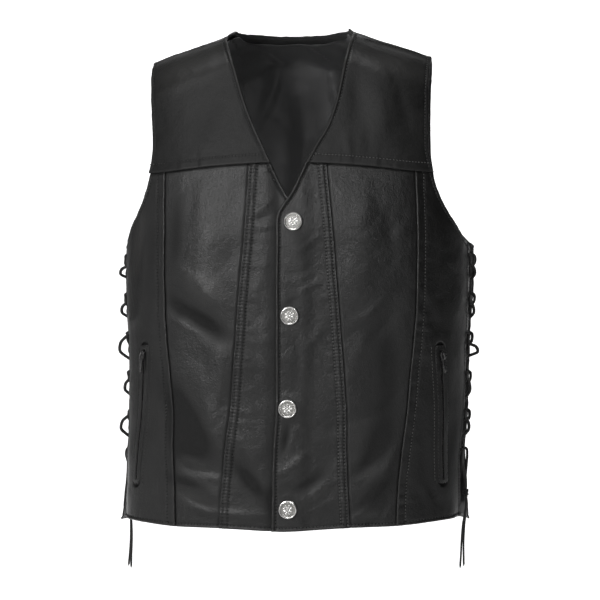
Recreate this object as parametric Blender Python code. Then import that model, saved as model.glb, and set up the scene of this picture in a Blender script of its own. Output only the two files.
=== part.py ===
import math
from collections import namedtuple

import bmesh
import bpy
import numpy as np
from mathutils import Matrix, Vector

# Driving sizes in metres. A drop is measured straight down from the neck end of the shoulder seam,
# where the origin is. "Across" is measured sideways from the middle line of the vest.
# The front faces -Y, and the wearer's left is +X.
LEATHER = 0.0020
SATIN = 0.0010
SEAM_GAP = 0.0003
LAYER_GAP = 0.0005
LAP = 0.016
LAP_BLEND = 0.020
NECK_POINT = 0.0836
ARMPIT_DROP = 0.286
BACK_ARMPIT_DROP = 0.280
BACK_HEM_DROP = 0.649
V_CORNER_DROP = 0.238
SEAM_FORWARD_AT_NECK = 0.008
SEAM_FORWARD_AT_TIP = 0.002

# The filled-out form
FRONT_SQUARENESS = 2.6
BACK_SQUARENESS = 2.4
FRONT_TURN = 0.055
BACK_TURN = 0.060
SPREAD = 0.8
RIDGE_PASSES = 4
NUDGE = 0.0004
SHARP_DEGREES = 40

# Laced sides
FRONT_LACED_EDGE = 0.010
BACK_LACED_EDGE = 0.012
HOLE_INSET = 0.008
HOLE_RADIUS = 0.0029
HOLE_SIDES = 8
HOLE_SLANT = 0.0009
LACE_RADIUS = 0.0015
LACE_CLEAR = 0.0026
LACE_ROWS = 6
LACE_FIRST_DROP = 0.293
LACE_PITCH = 0.052
LACE_STEP = 0.010
KNOT_DROP = 0.612
KNOT_RADII = (0.0045, 0.0055, 0.0060)
STRAND_APART = 0.0022
HOLE_RUN = 0.0015
BAR_RISE = 0.003
BAR_INSIDE = 0.009
KNOT_RUN = 0.014

# A crossing, in shares of the pitch: where it leaves one edge, is halfway, dips under the other
# edge and lies against its inside. Then how far it dips and lies in, past the plain clearance.
CROSS_LEAVES = 0.20
CROSS_HALFWAY = 0.50
CROSS_DIPS = 0.70
CROSS_LIES = 0.82
UNDER_CROSSING_OUT = 0.0005
DIP_OUTSET = 0.004
DIP_DEPTH = 0.0012
LIE_INSET = 0.0015
LIE_DEPTH = 0.0006

# Pocket zips
SLIT_TOP = (0.195, 0.418)
SLIT_BOTTOM = (0.203, 0.590)
SLOT_HALF = 0.0024
SLOT_END = 0.005
WELT_HALF = 0.0100
WELT_WINDOW = 0.0027
WELT_WALL = 0.0012
WELT_END = 0.04
ZIP_TAPE_HALF = 0.0080
ZIP_CHAIN_HALF = 0.0017
ZIP_WALL = 0.0010
ZIP_BEHIND = 0.0010
ZIP_CHAIN_OUT = 0.0010
ZIP_CHAIN_STEP = 0.0002
ZIP_END = 0.03
CHAIN_FOOT = 0.010
CHAIN_HEAD = 0.014
SLIDER_AT = 0.055
SLIDER_SPAN = 0.02
SLIDER_SIZE = (0.0080, 0.0120, 0.0026)
ARCH_SIZE = (0.0020, 0.0090, 0.0036)
ARCH_WINDOW = (0.0070, 0.0024)
ARCH_SINK = 0.0004
TAB_SIZE = (0.0052, 0.0220, 0.0012)
TAB_WINDOW = (0.0030, 0.0050)
TAB_BAR = 0.0014

# Snaps
SNAP_SIDES = 16

FRONT = -1
BACK = 1
LEFT = 1
RIGHT = -1
SIDE_NAMES = {LEFT: "left", RIGHT: "right"}

# Level sections of the form: half widths, depths in front of and behind the shoulder line,
# how far the middle line leans to the wearer's left, and how steeply the section rises that way.
Section = namedtuple("Section", "drop front_half back_half front_depth back_depth lean tilt")
SECTIONS = (
    Section(-0.040, 0.2120, 0.2120, 0.080, 0.100, -0.0098, 0.0125),
    Section(0.000, 0.2150, 0.2150, 0.085, 0.105, -0.0095, 0.0125),
    Section(0.100, 0.2220, 0.2220, 0.105, 0.120, -0.0072, 0.0060),
    Section(0.180, 0.2285, 0.2290, 0.120, 0.125, -0.0045, 0.0000),
    Section(0.280, 0.2285, 0.2335, 0.130, 0.125, -0.0025, 0.0000),
    Section(0.327, 0.2290, 0.2345, 0.130, 0.122, -0.0030, 0.0000),
    Section(0.410, 0.2265, 0.2305, 0.128, 0.115, -0.0030, 0.0000),
    Section(0.490, 0.2234, 0.2284, 0.125, 0.112, -0.0035, 0.0020),
    Section(0.560, 0.2224, 0.2285, 0.124, 0.116, -0.0075, 0.0060),
    Section(0.660, 0.2235, 0.2350, 0.122, 0.122, -0.0095, 0.0110),
)

# Height of the shoulder ridge. Inside the neck opening it only guides the back's curve.
Ridge = namedtuple("Ridge", "across drop")
RIDGE = (
    Ridge(0.000, -0.0310),
    Ridge(0.035, -0.0240),
    Ridge(0.070, -0.0100),
    Ridge(0.084, -0.0032),
    Ridge(0.100, 0.0026),
    Ridge(0.125, 0.0110),
    Ridge(0.152, 0.0196),
    Ridge(0.186, 0.0318),
    Ridge(0.240, 0.0520),
)

# How far the back neckline lies below the ridge, over the neck opening.
Neckline = namedtuple("Neckline", "across below")
NECKLINE = (
    Neckline(0.000, 0.0220),
    Neckline(0.035, 0.0155),
    Neckline(0.055, 0.0080),
    Neckline(0.0745, 0.0000),
    Neckline(NECK_POINT, SEAM_GAP / 2 - SEAM_FORWARD_AT_NECK),
)

# The V of the front neck, carried past the middle line under the lap.
NeckEdge = namedtuple("NeckEdge", "drop right left")
NECK_EDGE = (
    NeckEdge(0.0060, NECK_POINT, NECK_POINT),
    NeckEdge(0.0460, 0.0690, 0.0745),
    NeckEdge(0.0900, 0.0565, 0.0650),
    NeckEdge(0.1250, 0.0440, 0.0530),
    NeckEdge(0.1570, 0.0300, 0.0340),
    NeckEdge(0.1720, 0.0235, 0.0255),
    NeckEdge(0.2210, 0.0000, 0.0000),
    NeckEdge(V_CORNER_DROP, -LAP, -LAP),
)

Armhole = namedtuple("Armhole", "drop front back")
ARMHOLE = (
    Armhole(0.036, 0.1860, 0.1860),
    Armhole(0.089, 0.1830, 0.1800),
    Armhole(0.150, 0.1815, 0.1780),
    Armhole(0.185, 0.1860, 0.1810),
    Armhole(0.215, 0.1940, 0.1890),
    Armhole(0.2415, 0.2064, 0.2020),
    Armhole(0.261, 0.2186, 0.2160),
    Armhole(0.277, 0.2275, 0.2322),
)

YokeSeam = namedtuple("YokeSeam", "across drop")
YOKE_SEAM = (
    YokeSeam(0.0200, 0.1764),
    YokeSeam(0.0710, 0.1790),
    YokeSeam(0.1165, 0.1824),
    YokeSeam(0.1560, 0.1866),
    YokeSeam(0.1880, 0.1882),
)

# The double-stitched seam and the seam of the side panel
LongSeam = namedtuple("LongSeam", "drop double side")
LONG_SEAMS = (
    LongSeam(0.178, 0.0510, 0.1634),
    LongSeam(0.289, 0.0600, 0.1647),
    LongSeam(0.354, 0.0656, 0.1640),
    LongSeam(0.406, 0.0694, 0.1608),
    LongSeam(0.458, 0.0732, 0.1558),
    LongSeam(0.523, 0.0778, 0.1508),
    LongSeam(0.603, 0.0830, 0.1454),
    LongSeam(0.655, 0.0860, 0.1439),
)

Hem = namedtuple("Hem", "across drop")
HEM = (
    Hem(0.000, 0.6535),
    Hem(0.016, 0.6530),
    Hem(0.080, 0.6495),
    Hem(0.150, 0.6475),
    Hem(0.200, 0.6440),
    Hem(0.230, 0.6425),
)

# The largest soft folds: place, half length and half width, how the crease turns from level
# (positive rises towards the wearer's left) and its height, negative for a trough.
Fold = namedtuple("Fold", "face across drop length width turn height")
FOLDS = (
    Fold(FRONT, -0.108, 0.296, 0.070, 0.024, 90, 0.0030),
    Fold(FRONT, -0.121, 0.373, 0.045, 0.013, -34, -0.0045),
    Fold(FRONT, -0.093, 0.434, 0.045, 0.018, 80, 0.0030),
    Fold(FRONT, -0.124, 0.515, 0.055, 0.016, -63, -0.0035),
    Fold(FRONT, -0.105, 0.600, 0.035, 0.013, -24, 0.0030),
    Fold(FRONT, 0.092, 0.290, 0.075, 0.024, 90, 0.0030),
    Fold(FRONT, 0.128, 0.431, 0.060, 0.022, 90, -0.0030),
    Fold(FRONT, 0.120, 0.597, 0.045, 0.013, 61, 0.0035),
    Fold(FRONT, 0.093, 0.096, 0.045, 0.013, 90, -0.0025),
    Fold(FRONT, 0.122, 0.102, 0.045, 0.013, 96, 0.0025),
    Fold(BACK, -0.070, 0.470, 0.060, 0.022, 24, -0.0030),
    Fold(BACK, 0.075, 0.455, 0.060, 0.022, -28, -0.0030),
    Fold(BACK, 0.000, 0.560, 0.075, 0.026, 0, 0.0030),
)

# How far each crossing of the lace stands out from the side, top to bottom.
CROSSING_OUT = {
    LEFT: (0.0055, 0.0055, 0.0130, 0.0050, 0.0060),
    RIGHT: (0.0090, 0.0085, 0.0135, 0.0080, 0.0120),
}

# How far each knot sits out from the side, negative where it hangs inside the vest, and how far
# below the last holes the lace turns in to it.
KNOT_OUT = {LEFT: 0.0040, RIGHT: -0.0065}
KNOT_LEAD = {LEFT: 0.018, RIGHT: 0.008}

# How far the free ends of each side drift out on their way down.
END_DRIFT = {LEFT: -0.0020, RIGHT: 0.0050}

# Free lace ends below the knot: down, towards the back, and out from the side.
LaceEnd = namedtuple("LaceEnd", "down back out")
LACE_ENDS = {
    "front": (
        LaceEnd(0.0000, -0.0022, 0.0000),
        LaceEnd(0.0140, -0.0030, 0.0000),
        LaceEnd(0.0340, -0.0034, -0.0030),
        LaceEnd(0.0560, -0.0026, -0.0045),
        LaceEnd(0.0760, -0.0030, -0.0050),
        LaceEnd(0.0950, -0.0040, -0.0058),
    ),
    "back": (
        LaceEnd(0.0000, 0.0022, 0.0000),
        LaceEnd(0.0150, 0.0032, 0.0002),
        LaceEnd(0.0360, 0.0028, -0.0012),
        LaceEnd(0.0580, 0.0036, -0.0020),
        LaceEnd(0.0770, 0.0044, -0.0016),
        LaceEnd(0.0930, 0.0040, -0.0010),
    ),
}

# Snap caps down the front, and how far each sits from the middle line.
Snap = namedtuple("Snap", "drop across")
SNAPS = (
    Snap(0.2532, 0.0068),
    Snap(0.3742, 0.0023),
    Snap(0.4943, -0.0003),
    Snap(0.6244, 0.0050),
)

# Turned profile of a snap cap, from the middle of its back round to the middle of its face.
Turned = namedtuple("Turned", "radius height")
SNAP_PROFILE = (
    Turned(0.0112, 0.0000),
    Turned(0.0120, 0.0008),
    Turned(0.0119, 0.0024),
    Turned(0.0108, 0.0034),
    Turned(0.0097, 0.0032),
    Turned(0.0090, 0.0026),
    Turned(0.0045, 0.0030),
)

# Grid of the panels: how many cells, and where columns stand across a panel that turns a corner.
PANEL_ROWS = 20
MID_COLUMNS = 6
YOKE_COLUMNS = 6
YOKE_ROWS = 9
YOKE_GATHER = 1.5
CENTER_CORNER = 0.56
CENTER_COLUMNS = (4, 2)
SIDE_CORNER = 0.28
SIDE_COLUMNS = (2, 5)
BACK_LOW_ROWS = 11
BACK_HIGH_ROWS = 10
BACK_NECK_COLUMNS = 6
BACK_NECK_GATHER = 1.8
BACK_SHOULDER_COLUMNS = 5
LINING_SIDE_MARGIN = 2
LINING_HEM_MARGIN = 1
WELT_ROWS = 7

Finish = namedtuple("Finish", "colour roughness metallic")
FINISHES = {
    "black_leather": Finish((0.022, 0.022, 0.021), 0.42, 0.0),
    "black_satin": Finish((0.015, 0.015, 0.015), 0.38, 0.0),
    "nickel": Finish((0.72, 0.70, 0.66), 0.25, 1.0),
    "dark_metal": Finish((0.10, 0.10, 0.10), 0.35, 1.0),
    "zip_tape": Finish((0.012, 0.012, 0.012), 0.70, 0.0),
    "lace_leather": Finish((0.018, 0.017, 0.016), 0.55, 0.0),
}


def clear_scene():
    for old in list(bpy.data.objects):
        bpy.data.objects.remove(old, do_unlink=True)


def make_material(slot):
    finish = FINISHES[slot]
    material = bpy.data.materials.new(slot)
    material.use_nodes = True
    shader = material.node_tree.nodes["Principled BSDF"]
    shader.inputs["Base Color"].default_value = (*finish.colour, 1.0)
    shader.inputs["Roughness"].default_value = finish.roughness
    shader.inputs["Metallic"].default_value = finish.metallic
    return material


def smooth(table, key, value, at):
    # A smooth curve through one column of a table that never overshoots its rows.
    xs = np.array([getattr(row, key) for row in table])
    ys = np.array([getattr(row, value) for row in table])
    at = np.clip(at, xs[0], xs[-1])
    gaps = np.diff(xs)
    slopes = np.diff(ys) / gaps
    bends = np.zeros_like(ys)
    bends[0] = slopes[0]
    bends[-1] = slopes[-1]
    for i in range(1, len(ys) - 1):
        if slopes[i - 1] * slopes[i] > 0:
            bends[i] = 2 * slopes[i - 1] * slopes[i] / (slopes[i - 1] + slopes[i])
    cell = np.clip(np.searchsorted(xs, at) - 1, 0, len(gaps) - 1)
    t = (at - xs[cell]) / gaps[cell]
    run = gaps[cell]
    ends = ys[cell] * (1 + 2 * t) * (1 - t) ** 2 + ys[cell + 1] * t**2 * (3 - 2 * t)
    return ends + run * (bends[cell] * t * (1 - t) ** 2 - bends[cell + 1] * t**2 * (1 - t))


def ease(value):
    value = np.clip(value, 0.0, 1.0)
    return value * value * (3 - 2 * value)


def share_of(angle):
    return np.sign(angle) * np.abs(np.sin(angle)) ** SPREAD


def angle_of(share):
    return np.sign(share) * np.arcsin(np.clip(np.abs(share), 0, 1) ** (1 / SPREAD))


def half_width(face, drop):
    front = smooth(SECTIONS, "drop", "front_half", drop)
    back = smooth(SECTIONS, "drop", "back_half", drop)
    return np.where(face == FRONT, front, back)


def depth_at(face, drop):
    front = smooth(SECTIONS, "drop", "front_depth", drop)
    back = smooth(SECTIONS, "drop", "back_depth", drop)
    return np.where(face == FRONT, front, back)


def ridge_drop(across):
    return smooth(RIDGE, "across", "drop", np.abs(across))


def fold_height(face, across, drop):
    total = np.zeros(np.broadcast(across, drop).shape)
    for fold in FOLDS:
        turn = math.radians(fold.turn)
        side = across - fold.across
        up = fold.drop - drop
        along = (side * math.cos(turn) + up * math.sin(turn)) / fold.length
        over = (up * math.cos(turn) - side * math.sin(turn)) / fold.width
        total = total + np.where(face == fold.face, fold.height, 0) * np.exp(-(along**2) - over**2)
    return total


def form(angle, below):
    # A point of the leather's outer face. The angle runs from side to side, and below is the
    # distance under the shoulder ridge: negative on the front, positive on the back.
    angle, below = np.broadcast_arrays(np.asarray(angle, float), np.asarray(below, float))
    face = np.where(below < 0, FRONT, BACK)
    share = share_of(angle)
    drop = np.abs(below)
    for _ in range(RIDGE_PASSES):
        across = share * half_width(face, drop)
        drop = np.abs(below) + ridge_drop(across)
    squareness = np.where(face == FRONT, FRONT_SQUARENESS, BACK_SQUARENESS)
    chest = depth_at(face, drop) * np.clip(1 - np.abs(share) ** squareness, 0, 1) ** (1 / squareness)
    turn = np.clip(np.abs(below) / np.where(face == FRONT, FRONT_TURN, BACK_TURN), 0, 1)
    rolled = np.sqrt(1 - (1 - turn) ** 2)
    fold = fold_height(face, across, drop) * rolled
    x = smooth(SECTIONS, "drop", "lean", drop) + across + fold * np.sin(angle)
    y = face * (chest * rolled + fold * np.cos(angle))
    z = smooth(SECTIONS, "drop", "tilt", drop) * across - drop
    return np.stack([x, y, z], axis=-1)


def outward(angle, below):
    sideways = form(angle + NUDGE, below) - form(angle - NUDGE, below)
    lengthways = form(angle, below + NUDGE) - form(angle, below - NUDGE)
    normal = np.cross(sideways, lengthways)
    return normal / np.linalg.norm(normal, axis=-1, keepdims=True)


def lifted(angle, below, out):
    return form(angle, below) + outward(angle, below) * np.asarray(out)[..., None]


def below_of(face, angle, drop):
    across = share_of(angle) * half_width(face, drop)
    return face * (drop - ridge_drop(across))


def front_spot(across, drop):
    across, drop = np.broadcast_arrays(np.asarray(across, float), np.asarray(drop, float))
    return np.stack([angle_of(across / half_width(FRONT, drop)), drop], axis=-1)


def laced_angle(face, drop, inset):
    edge = np.where(face == FRONT, FRONT_LACED_EDGE, BACK_LACED_EDGE) + inset
    squareness = np.where(face == FRONT, FRONT_SQUARENESS, BACK_SQUARENESS)
    return angle_of((1 - (edge / depth_at(face, drop)) ** squareness) ** (1 / squareness))


def marks(*stretches):
    # Grid lines from 0 to 1: each stretch is its end and its number of cells.
    lines = [0.0]
    for end, cells in stretches:
        lines.extend(np.linspace(lines[-1], end, cells + 1)[1:])
    return np.array(lines)


def patch(bottom, top, left, right, across, up):
    # Fills the space between four edges, each a function from 0 to 1 to angle and drop.
    u = across[None, :, None]
    v = up[:, None, None]
    low = bottom(across)[None]
    high = top(across)[None]
    start = left(up)[:, None]
    end = right(up)[:, None]
    rows = (1 - v) * low + v * high
    columns = (1 - u) * start + u * end
    corners = (1 - v) * ((1 - u) * low[:, :1] + u * low[:, -1:])
    corners = corners + v * ((1 - u) * high[:, :1] + u * high[:, -1:])
    return rows + columns - corners


def between(start, end, share):
    return start + (end - start) * share


def add_object(name, mesh, finish):
    data = bpy.data.meshes.new(name)
    bmesh.ops.recalc_face_normals(mesh, faces=mesh.faces)
    mesh.to_mesh(data)
    mesh.free()
    data.shade_smooth()
    data.set_sharp_from_angle(angle=math.radians(SHARP_DEGREES))
    data.materials.append(finish)
    thing = bpy.data.objects.new(name, data)
    bpy.context.scene.collection.objects.link(thing)
    return thing


def sheet(name, outer, inner, finish, keep=None):
    # A wall between two grids of points. Cells that keep leaves out are openings.
    rows, columns = outer.shape[:2]
    if keep is None:
        keep = np.ones((rows - 1, columns - 1), bool)
    mesh = bmesh.new()
    faces = [[[mesh.verts.new(point) for point in row] for row in grid] for grid in (outer, inner)]
    for r, c in zip(*np.nonzero(keep)):
        ring = ((r, c), (r, c + 1), (r + 1, c + 1), (r + 1, c))
        rising = np.linalg.norm(outer[ring[0]] - outer[ring[2]])
        falling = np.linalg.norm(outer[ring[1]] - outer[ring[3]])
        for face in faces:
            corners = [face[i][j] for i, j in ring]
            if rising > falling:
                corners = corners[1:] + corners[:1]
            mesh.faces.new(corners[:3])
            mesh.faces.new((corners[0], *corners[2:]))
        for i, (dr, dc) in enumerate(((-1, 0), (0, 1), (1, 0), (0, -1))):
            inside = 0 <= r + dr < rows - 1 and 0 <= c + dc < columns - 1
            if inside and keep[r + dr, c + dc]:
                continue
            (ra, ca), (rb, cb) = ring[i], ring[(i + 1) % 4]
            mesh.faces.new((faces[0][ra][ca], faces[0][rb][cb], faces[1][rb][cb], faces[1][ra][ca]))
    loose = [vert for vert in mesh.verts if not vert.link_faces]
    bmesh.ops.delete(mesh, geom=loose, context="VERTS")
    return add_object(name, mesh, finish)


def front_panel(name, side, grid, finish, lift=0.0):
    angle = side * grid[..., 0]
    below = below_of(FRONT, angle, grid[..., 1])
    lift = np.broadcast_to(lift, angle.shape)
    return sheet(name, lifted(angle, below, lift), lifted(angle, below, lift - LEATHER), finish)


def seam_spot(seam, drop, shift):
    return front_spot(smooth(LONG_SEAMS, "drop", seam, drop) + shift, drop)


def hem_spot(across):
    return front_spot(across, smooth(HEM, "across", "drop", np.abs(across)))


def yoke_spot(across, shift):
    return front_spot(across, smooth(YOKE_SEAM, "across", "drop", across) + shift)


def long_seam_ends(seam):
    # Where a long seam meets the hem and the yoke.
    hem_drop = smooth(HEM, "across", "drop", LONG_SEAMS[-1]._asdict()[seam])
    yoke_drop = smooth(YOKE_SEAM, "across", "drop", LONG_SEAMS[0]._asdict()[seam]) + SEAM_GAP / 2
    return hem_drop, yoke_drop


def long_seam(seam, shift):
    hem_drop, yoke_drop = long_seam_ends(seam)

    def edge(share):
        return seam_spot(seam, between(hem_drop, yoke_drop, share), shift)

    return edge


def along_hem(start, end):
    return lambda share: hem_spot(between(start, end, share))


def seam_foot(seam, shift):
    return smooth(LONG_SEAMS, "drop", seam, long_seam_ends(seam)[0]) + shift


def seam_head(seam, shift):
    return smooth(LONG_SEAMS, "drop", seam, long_seam_ends(seam)[1]) + shift


def neck_across(side, drop):
    return smooth(NECK_EDGE, "drop", SIDE_NAMES[side], drop)


def neck_at_yoke(side, shift):
    # Where the neck edge meets the yoke seam.
    across = neck_across(side, YOKE_SEAM[0].drop)
    return smooth(YOKE_SEAM, "across", "drop", across) + shift


def center_panel(side, finish):
    # The wearer's left panel lies over the right one, so it rises by a wall where they lap.
    half_gap = SEAM_GAP / 2
    yoke_drop = neck_at_yoke(side, half_gap)
    seam_top = seam_head("double", -half_gap)
    hem_drop = smooth(HEM, "across", "drop", LAP)

    def front_edge(share):
        return front_spot(-LAP, between(hem_drop, V_CORNER_DROP, share))

    def top(share):
        neck_drop = between(V_CORNER_DROP, yoke_drop, np.clip(share / CENTER_CORNER, 0, 1))
        neck = front_spot(neck_across(side, neck_drop), neck_drop)
        reach = np.clip((share - CENTER_CORNER) / (1 - CENTER_CORNER), 0, 1)
        yoke = yoke_spot(between(neck_across(side, yoke_drop), seam_top, reach), half_gap)
        return np.where((share <= CENTER_CORNER)[:, None], neck, yoke)

    columns = marks((CENTER_CORNER, CENTER_COLUMNS[0]), (1.0, CENTER_COLUMNS[1]))
    rows = np.linspace(0, 1, PANEL_ROWS + 1)
    bottom = along_hem(-LAP, seam_foot("double", -half_gap))
    grid = patch(bottom, top, front_edge, long_seam("double", -half_gap), columns, rows)
    lift = 0.0
    if side == LEFT:
        across = share_of(grid[..., 0]) * half_width(FRONT, grid[..., 1])
        lift = (LEATHER + LAYER_GAP) * ease((LAP + LAP_BLEND - across) / LAP_BLEND)
    return front_panel("front_center_" + SIDE_NAMES[side], side, grid, finish, lift)


def mid_panel(side, finish):
    half_gap = SEAM_GAP / 2
    columns = np.linspace(0, 1, MID_COLUMNS + 1)
    rows = np.linspace(0, 1, PANEL_ROWS + 1)
    start = seam_head("double", half_gap)
    end = seam_head("side", -half_gap)

    def top(share):
        return yoke_spot(between(start, end, share), half_gap)

    bottom = along_hem(seam_foot("double", half_gap), seam_foot("side", -half_gap))
    grid = patch(bottom, top, long_seam("double", half_gap), long_seam("side", -half_gap), columns, rows)
    return front_panel("front_mid_" + SIDE_NAMES[side], side, grid, finish)


def side_panel(side, finish):
    half_gap = SEAM_GAP / 2
    start = seam_head("side", half_gap)
    corner = smooth(ARMHOLE, "drop", "front", YOKE_SEAM[-1].drop)
    corner_drop = smooth(YOKE_SEAM, "across", "drop", corner) + half_gap
    hem_drop = HEM[-1].drop

    def laced_edge(share):
        drop = between(hem_drop, ARMPIT_DROP, share)
        return np.stack([laced_angle(FRONT, drop, 0.0), drop], axis=-1)

    def top(share):
        yoke = yoke_spot(between(start, corner, np.clip(share / SIDE_CORNER, 0, 1)), half_gap)
        reach = np.clip((share - SIDE_CORNER) / (1 - SIDE_CORNER), 0, 1)
        return np.where((share <= SIDE_CORNER)[:, None], yoke, armhole_spot(corner_drop, reach))

    def bottom(share):
        foot = hem_spot(seam_foot("side", half_gap))
        corner_angle = laced_angle(FRONT, hem_drop, 0.0)
        angle = between(foot[0], corner_angle, share)
        across = share_of(angle) * half_width(FRONT, hem_drop)
        drop = smooth(HEM, "across", "drop", across)
        return np.stack([angle, between(drop, hem_drop, share**2)], axis=-1)

    columns = marks((SIDE_CORNER, SIDE_COLUMNS[0]), (1.0, SIDE_COLUMNS[1]))
    rows = np.linspace(0, 1, PANEL_ROWS + 1)
    grid = patch(bottom, top, long_seam("side", half_gap), laced_edge, columns, rows)
    return front_panel("front_side_" + SIDE_NAMES[side], side, grid, finish)


def armhole_spot(corner_drop, share):
    # The front armhole from the yoke down to the laced edge.
    drop = between(corner_drop, ARMPIT_DROP, share)
    curve = front_spot(smooth(ARMHOLE, "drop", "front", drop), drop)
    last = ARMHOLE[-1].drop
    reach = ease((drop - last) / (ARMPIT_DROP - last))
    start = angle_of(ARMHOLE[-1].front / half_width(FRONT, last))
    end = laced_angle(FRONT, ARMPIT_DROP, 0.0)
    angle = np.where(drop > last, between(start, end, reach), curve[..., 0])
    return np.stack([angle, drop], axis=-1)


def seam_forward(across):
    tip = ARMHOLE[0].front
    share = np.clip((np.abs(across) - NECK_POINT) / (tip - NECK_POINT), 0, 1)
    return between(SEAM_FORWARD_AT_NECK, SEAM_FORWARD_AT_TIP, share)


def shoulder_drop(across, shift):
    return ridge_drop(across) + seam_forward(across) + shift


def front_yoke(side, finish):
    half_gap = SEAM_GAP / 2
    tip = ARMHOLE[0].front
    corner = smooth(ARMHOLE, "drop", "front", YOKE_SEAM[-1].drop)
    low_neck = neck_at_yoke(side, -half_gap)
    low_arm = smooth(YOKE_SEAM, "across", "drop", corner) - half_gap

    def bottom(share):
        return yoke_spot(between(neck_across(side, low_neck), corner, share), -half_gap)

    def top(share):
        across = between(NECK_POINT, tip, share)
        return front_spot(across, shoulder_drop(across, half_gap))

    def neck(share):
        drop = between(low_neck, shoulder_drop(NECK_POINT, half_gap), share)
        return front_spot(neck_across(side, drop), drop)

    def arm(share):
        drop = between(low_arm, shoulder_drop(tip, half_gap), share)
        return front_spot(smooth(ARMHOLE, "drop", "front", drop), drop)

    columns = np.linspace(0, 1, YOKE_COLUMNS + 1)
    rows = 1 - (1 - np.linspace(0, 1, YOKE_ROWS + 1)) ** YOKE_GATHER
    grid = patch(bottom, top, neck, arm, columns, rows)
    return front_panel("front_yoke_" + SIDE_NAMES[side], side, grid, finish)


def back_edge_angle(drop):
    # The back's own edge: laced below the armpit, the armhole above it.
    arm = angle_of(smooth(ARMHOLE, "drop", "back", drop) / half_width(BACK, drop))
    last = ARMHOLE[-1].drop
    laced = laced_angle(BACK, np.maximum(drop, last), 0.0)
    start = angle_of(ARMHOLE[-1].back / half_width(BACK, last))
    reach = ease((drop - last) / (BACK_ARMPIT_DROP - last))
    return np.where(drop > last, between(start, laced, reach), arm)


def unrolled(below):
    # Length along the rolled shoulder, so that rows stay even where the wall turns over.
    size = np.abs(below)
    return np.sign(below) * (size + np.sqrt(size**2 + 4 * BACK_TURN * size)) / 2


def rolled_up(length):
    return length * np.abs(length) / (np.abs(length) + BACK_TURN)


def back_grid():
    neck_drop = ridge_drop(NECK_POINT)
    neck_share = angle_of(NECK_POINT / half_width(BACK, neck_drop)) / back_edge_angle(neck_drop)
    inner = neck_share * (1 - (1 - np.linspace(0, 1, BACK_NECK_COLUMNS + 1)) ** BACK_NECK_GATHER)
    shoulder = np.linspace(neck_share, 1, BACK_SHOULDER_COLUMNS + 1)[1:]
    half = np.concatenate([inner, shoulder])
    share = np.concatenate([-half[:0:-1], half])

    def level(drop):
        angle = share * back_edge_angle(drop)
        return unrolled(below_of(BACK, angle, np.full_like(share, drop)))

    tip_drop = ridge_drop(ARMHOLE[0].back)
    across = share_of(share * back_edge_angle(tip_drop)) * half_width(BACK, tip_drop)
    neckline = smooth(NECKLINE, "across", "below", np.abs(across))
    seam = SEAM_GAP / 2 - seam_forward(across)
    top = unrolled(np.where(np.abs(share) < neck_share - NUDGE, neckline, seam))
    low = np.linspace(0, 1, BACK_LOW_ROWS + 1)[:, None]
    high = np.linspace(0, 1, BACK_HIGH_ROWS + 1)[1:, None]
    middle = level(BACK_ARMPIT_DROP)
    length = np.concatenate([between(level(BACK_HEM_DROP), middle, low), between(middle, top, high)])
    below = rolled_up(length)
    drop = np.abs(below)
    for _ in range(RIDGE_PASSES):
        angle = share * back_edge_angle(drop)
        drop = np.abs(below) + ridge_drop(share_of(angle) * half_width(BACK, drop))
    return angle, below


def back_pieces(leather, satin):
    angle, below = back_grid()
    flat = np.zeros_like(below)
    back = sheet("back", lifted(angle, below, flat), lifted(angle, below, flat - LEATHER), leather)
    side = LINING_SIDE_MARGIN
    angle = angle[LINING_HEM_MARGIN:, side:-side]
    below = below[LINING_HEM_MARGIN:, side:-side]
    face = np.full_like(below, -LEATHER - LAYER_GAP)
    sheet("back_lining", lifted(angle, below, face), lifted(angle, below, face - SATIN), satin)
    return back


def rim_point(face, side, drop, inset, out):
    # A point by the laced edge: inset from it into the panel, and out from the leather's outer face.
    held = max(inset, 0.0)
    angle = side * laced_angle(face, drop, held)
    point = lifted(angle, below_of(face, angle, drop), out)
    return Vector(point) + Vector((0, face * (inset - held), 0))


def side_middle(side, drop, out):
    front = rim_point(FRONT, side, drop, 0.0, 0.0)
    back = rim_point(BACK, side, drop, 0.0, 0.0)
    middle = (front + back) / 2
    return Vector((middle.x + side * out, 0.0, middle.z))


def hole_drop(row):
    return LACE_FIRST_DROP + LACE_PITCH * row


def lace_hole_cutter(face, side):
    # Six punched holes as one cutter.
    mesh = bmesh.new()
    for row in range(LACE_ROWS):
        inner = rim_point(face, side, hole_drop(row), HOLE_INSET, -3 * LEATHER)
        outer = rim_point(face, side, hole_drop(row), HOLE_INSET, 2 * LEATHER)
        axis = outer - inner
        turn = axis.to_track_quat("Z", "Y").to_matrix().to_4x4()
        place = Matrix.Translation((inner + outer) / 2) @ turn
        bmesh.ops.create_cone(
            mesh,
            cap_ends=True,
            segments=HOLE_SIDES,
            radius1=HOLE_RADIUS,
            radius2=HOLE_RADIUS,
            depth=axis.length,
            matrix=place,
        )
    return mesh


def as_cutter(thing):
    thing.hide_render = True
    thing.display_type = "WIRE"
    return thing


def cut(thing, cutter, operation="DIFFERENCE"):
    modifier = thing.modifiers.new(operation.lower(), "BOOLEAN")
    modifier.operation = operation
    modifier.solver = "EXACT"
    modifier.object = as_cutter(cutter)


def slit_place(side, share, shift):
    # A place in a pocket slit's own measure: share of its length, and metres off its line.
    share, shift = np.broadcast_arrays(np.asarray(share, float), np.asarray(shift, float))
    across = between(SLIT_TOP[0], SLIT_BOTTOM[0], share)
    drop = between(SLIT_TOP[1], SLIT_BOTTOM[1], share)
    angle = angle_of(across / half_width(FRONT, drop))
    below = below_of(FRONT, angle, drop)
    width = form(angle + NUDGE, below) - form(angle - NUDGE, below)
    angle = angle + shift * 2 * NUDGE / np.linalg.norm(width, axis=-1)
    return side * angle, below_of(FRONT, angle, drop)


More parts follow.
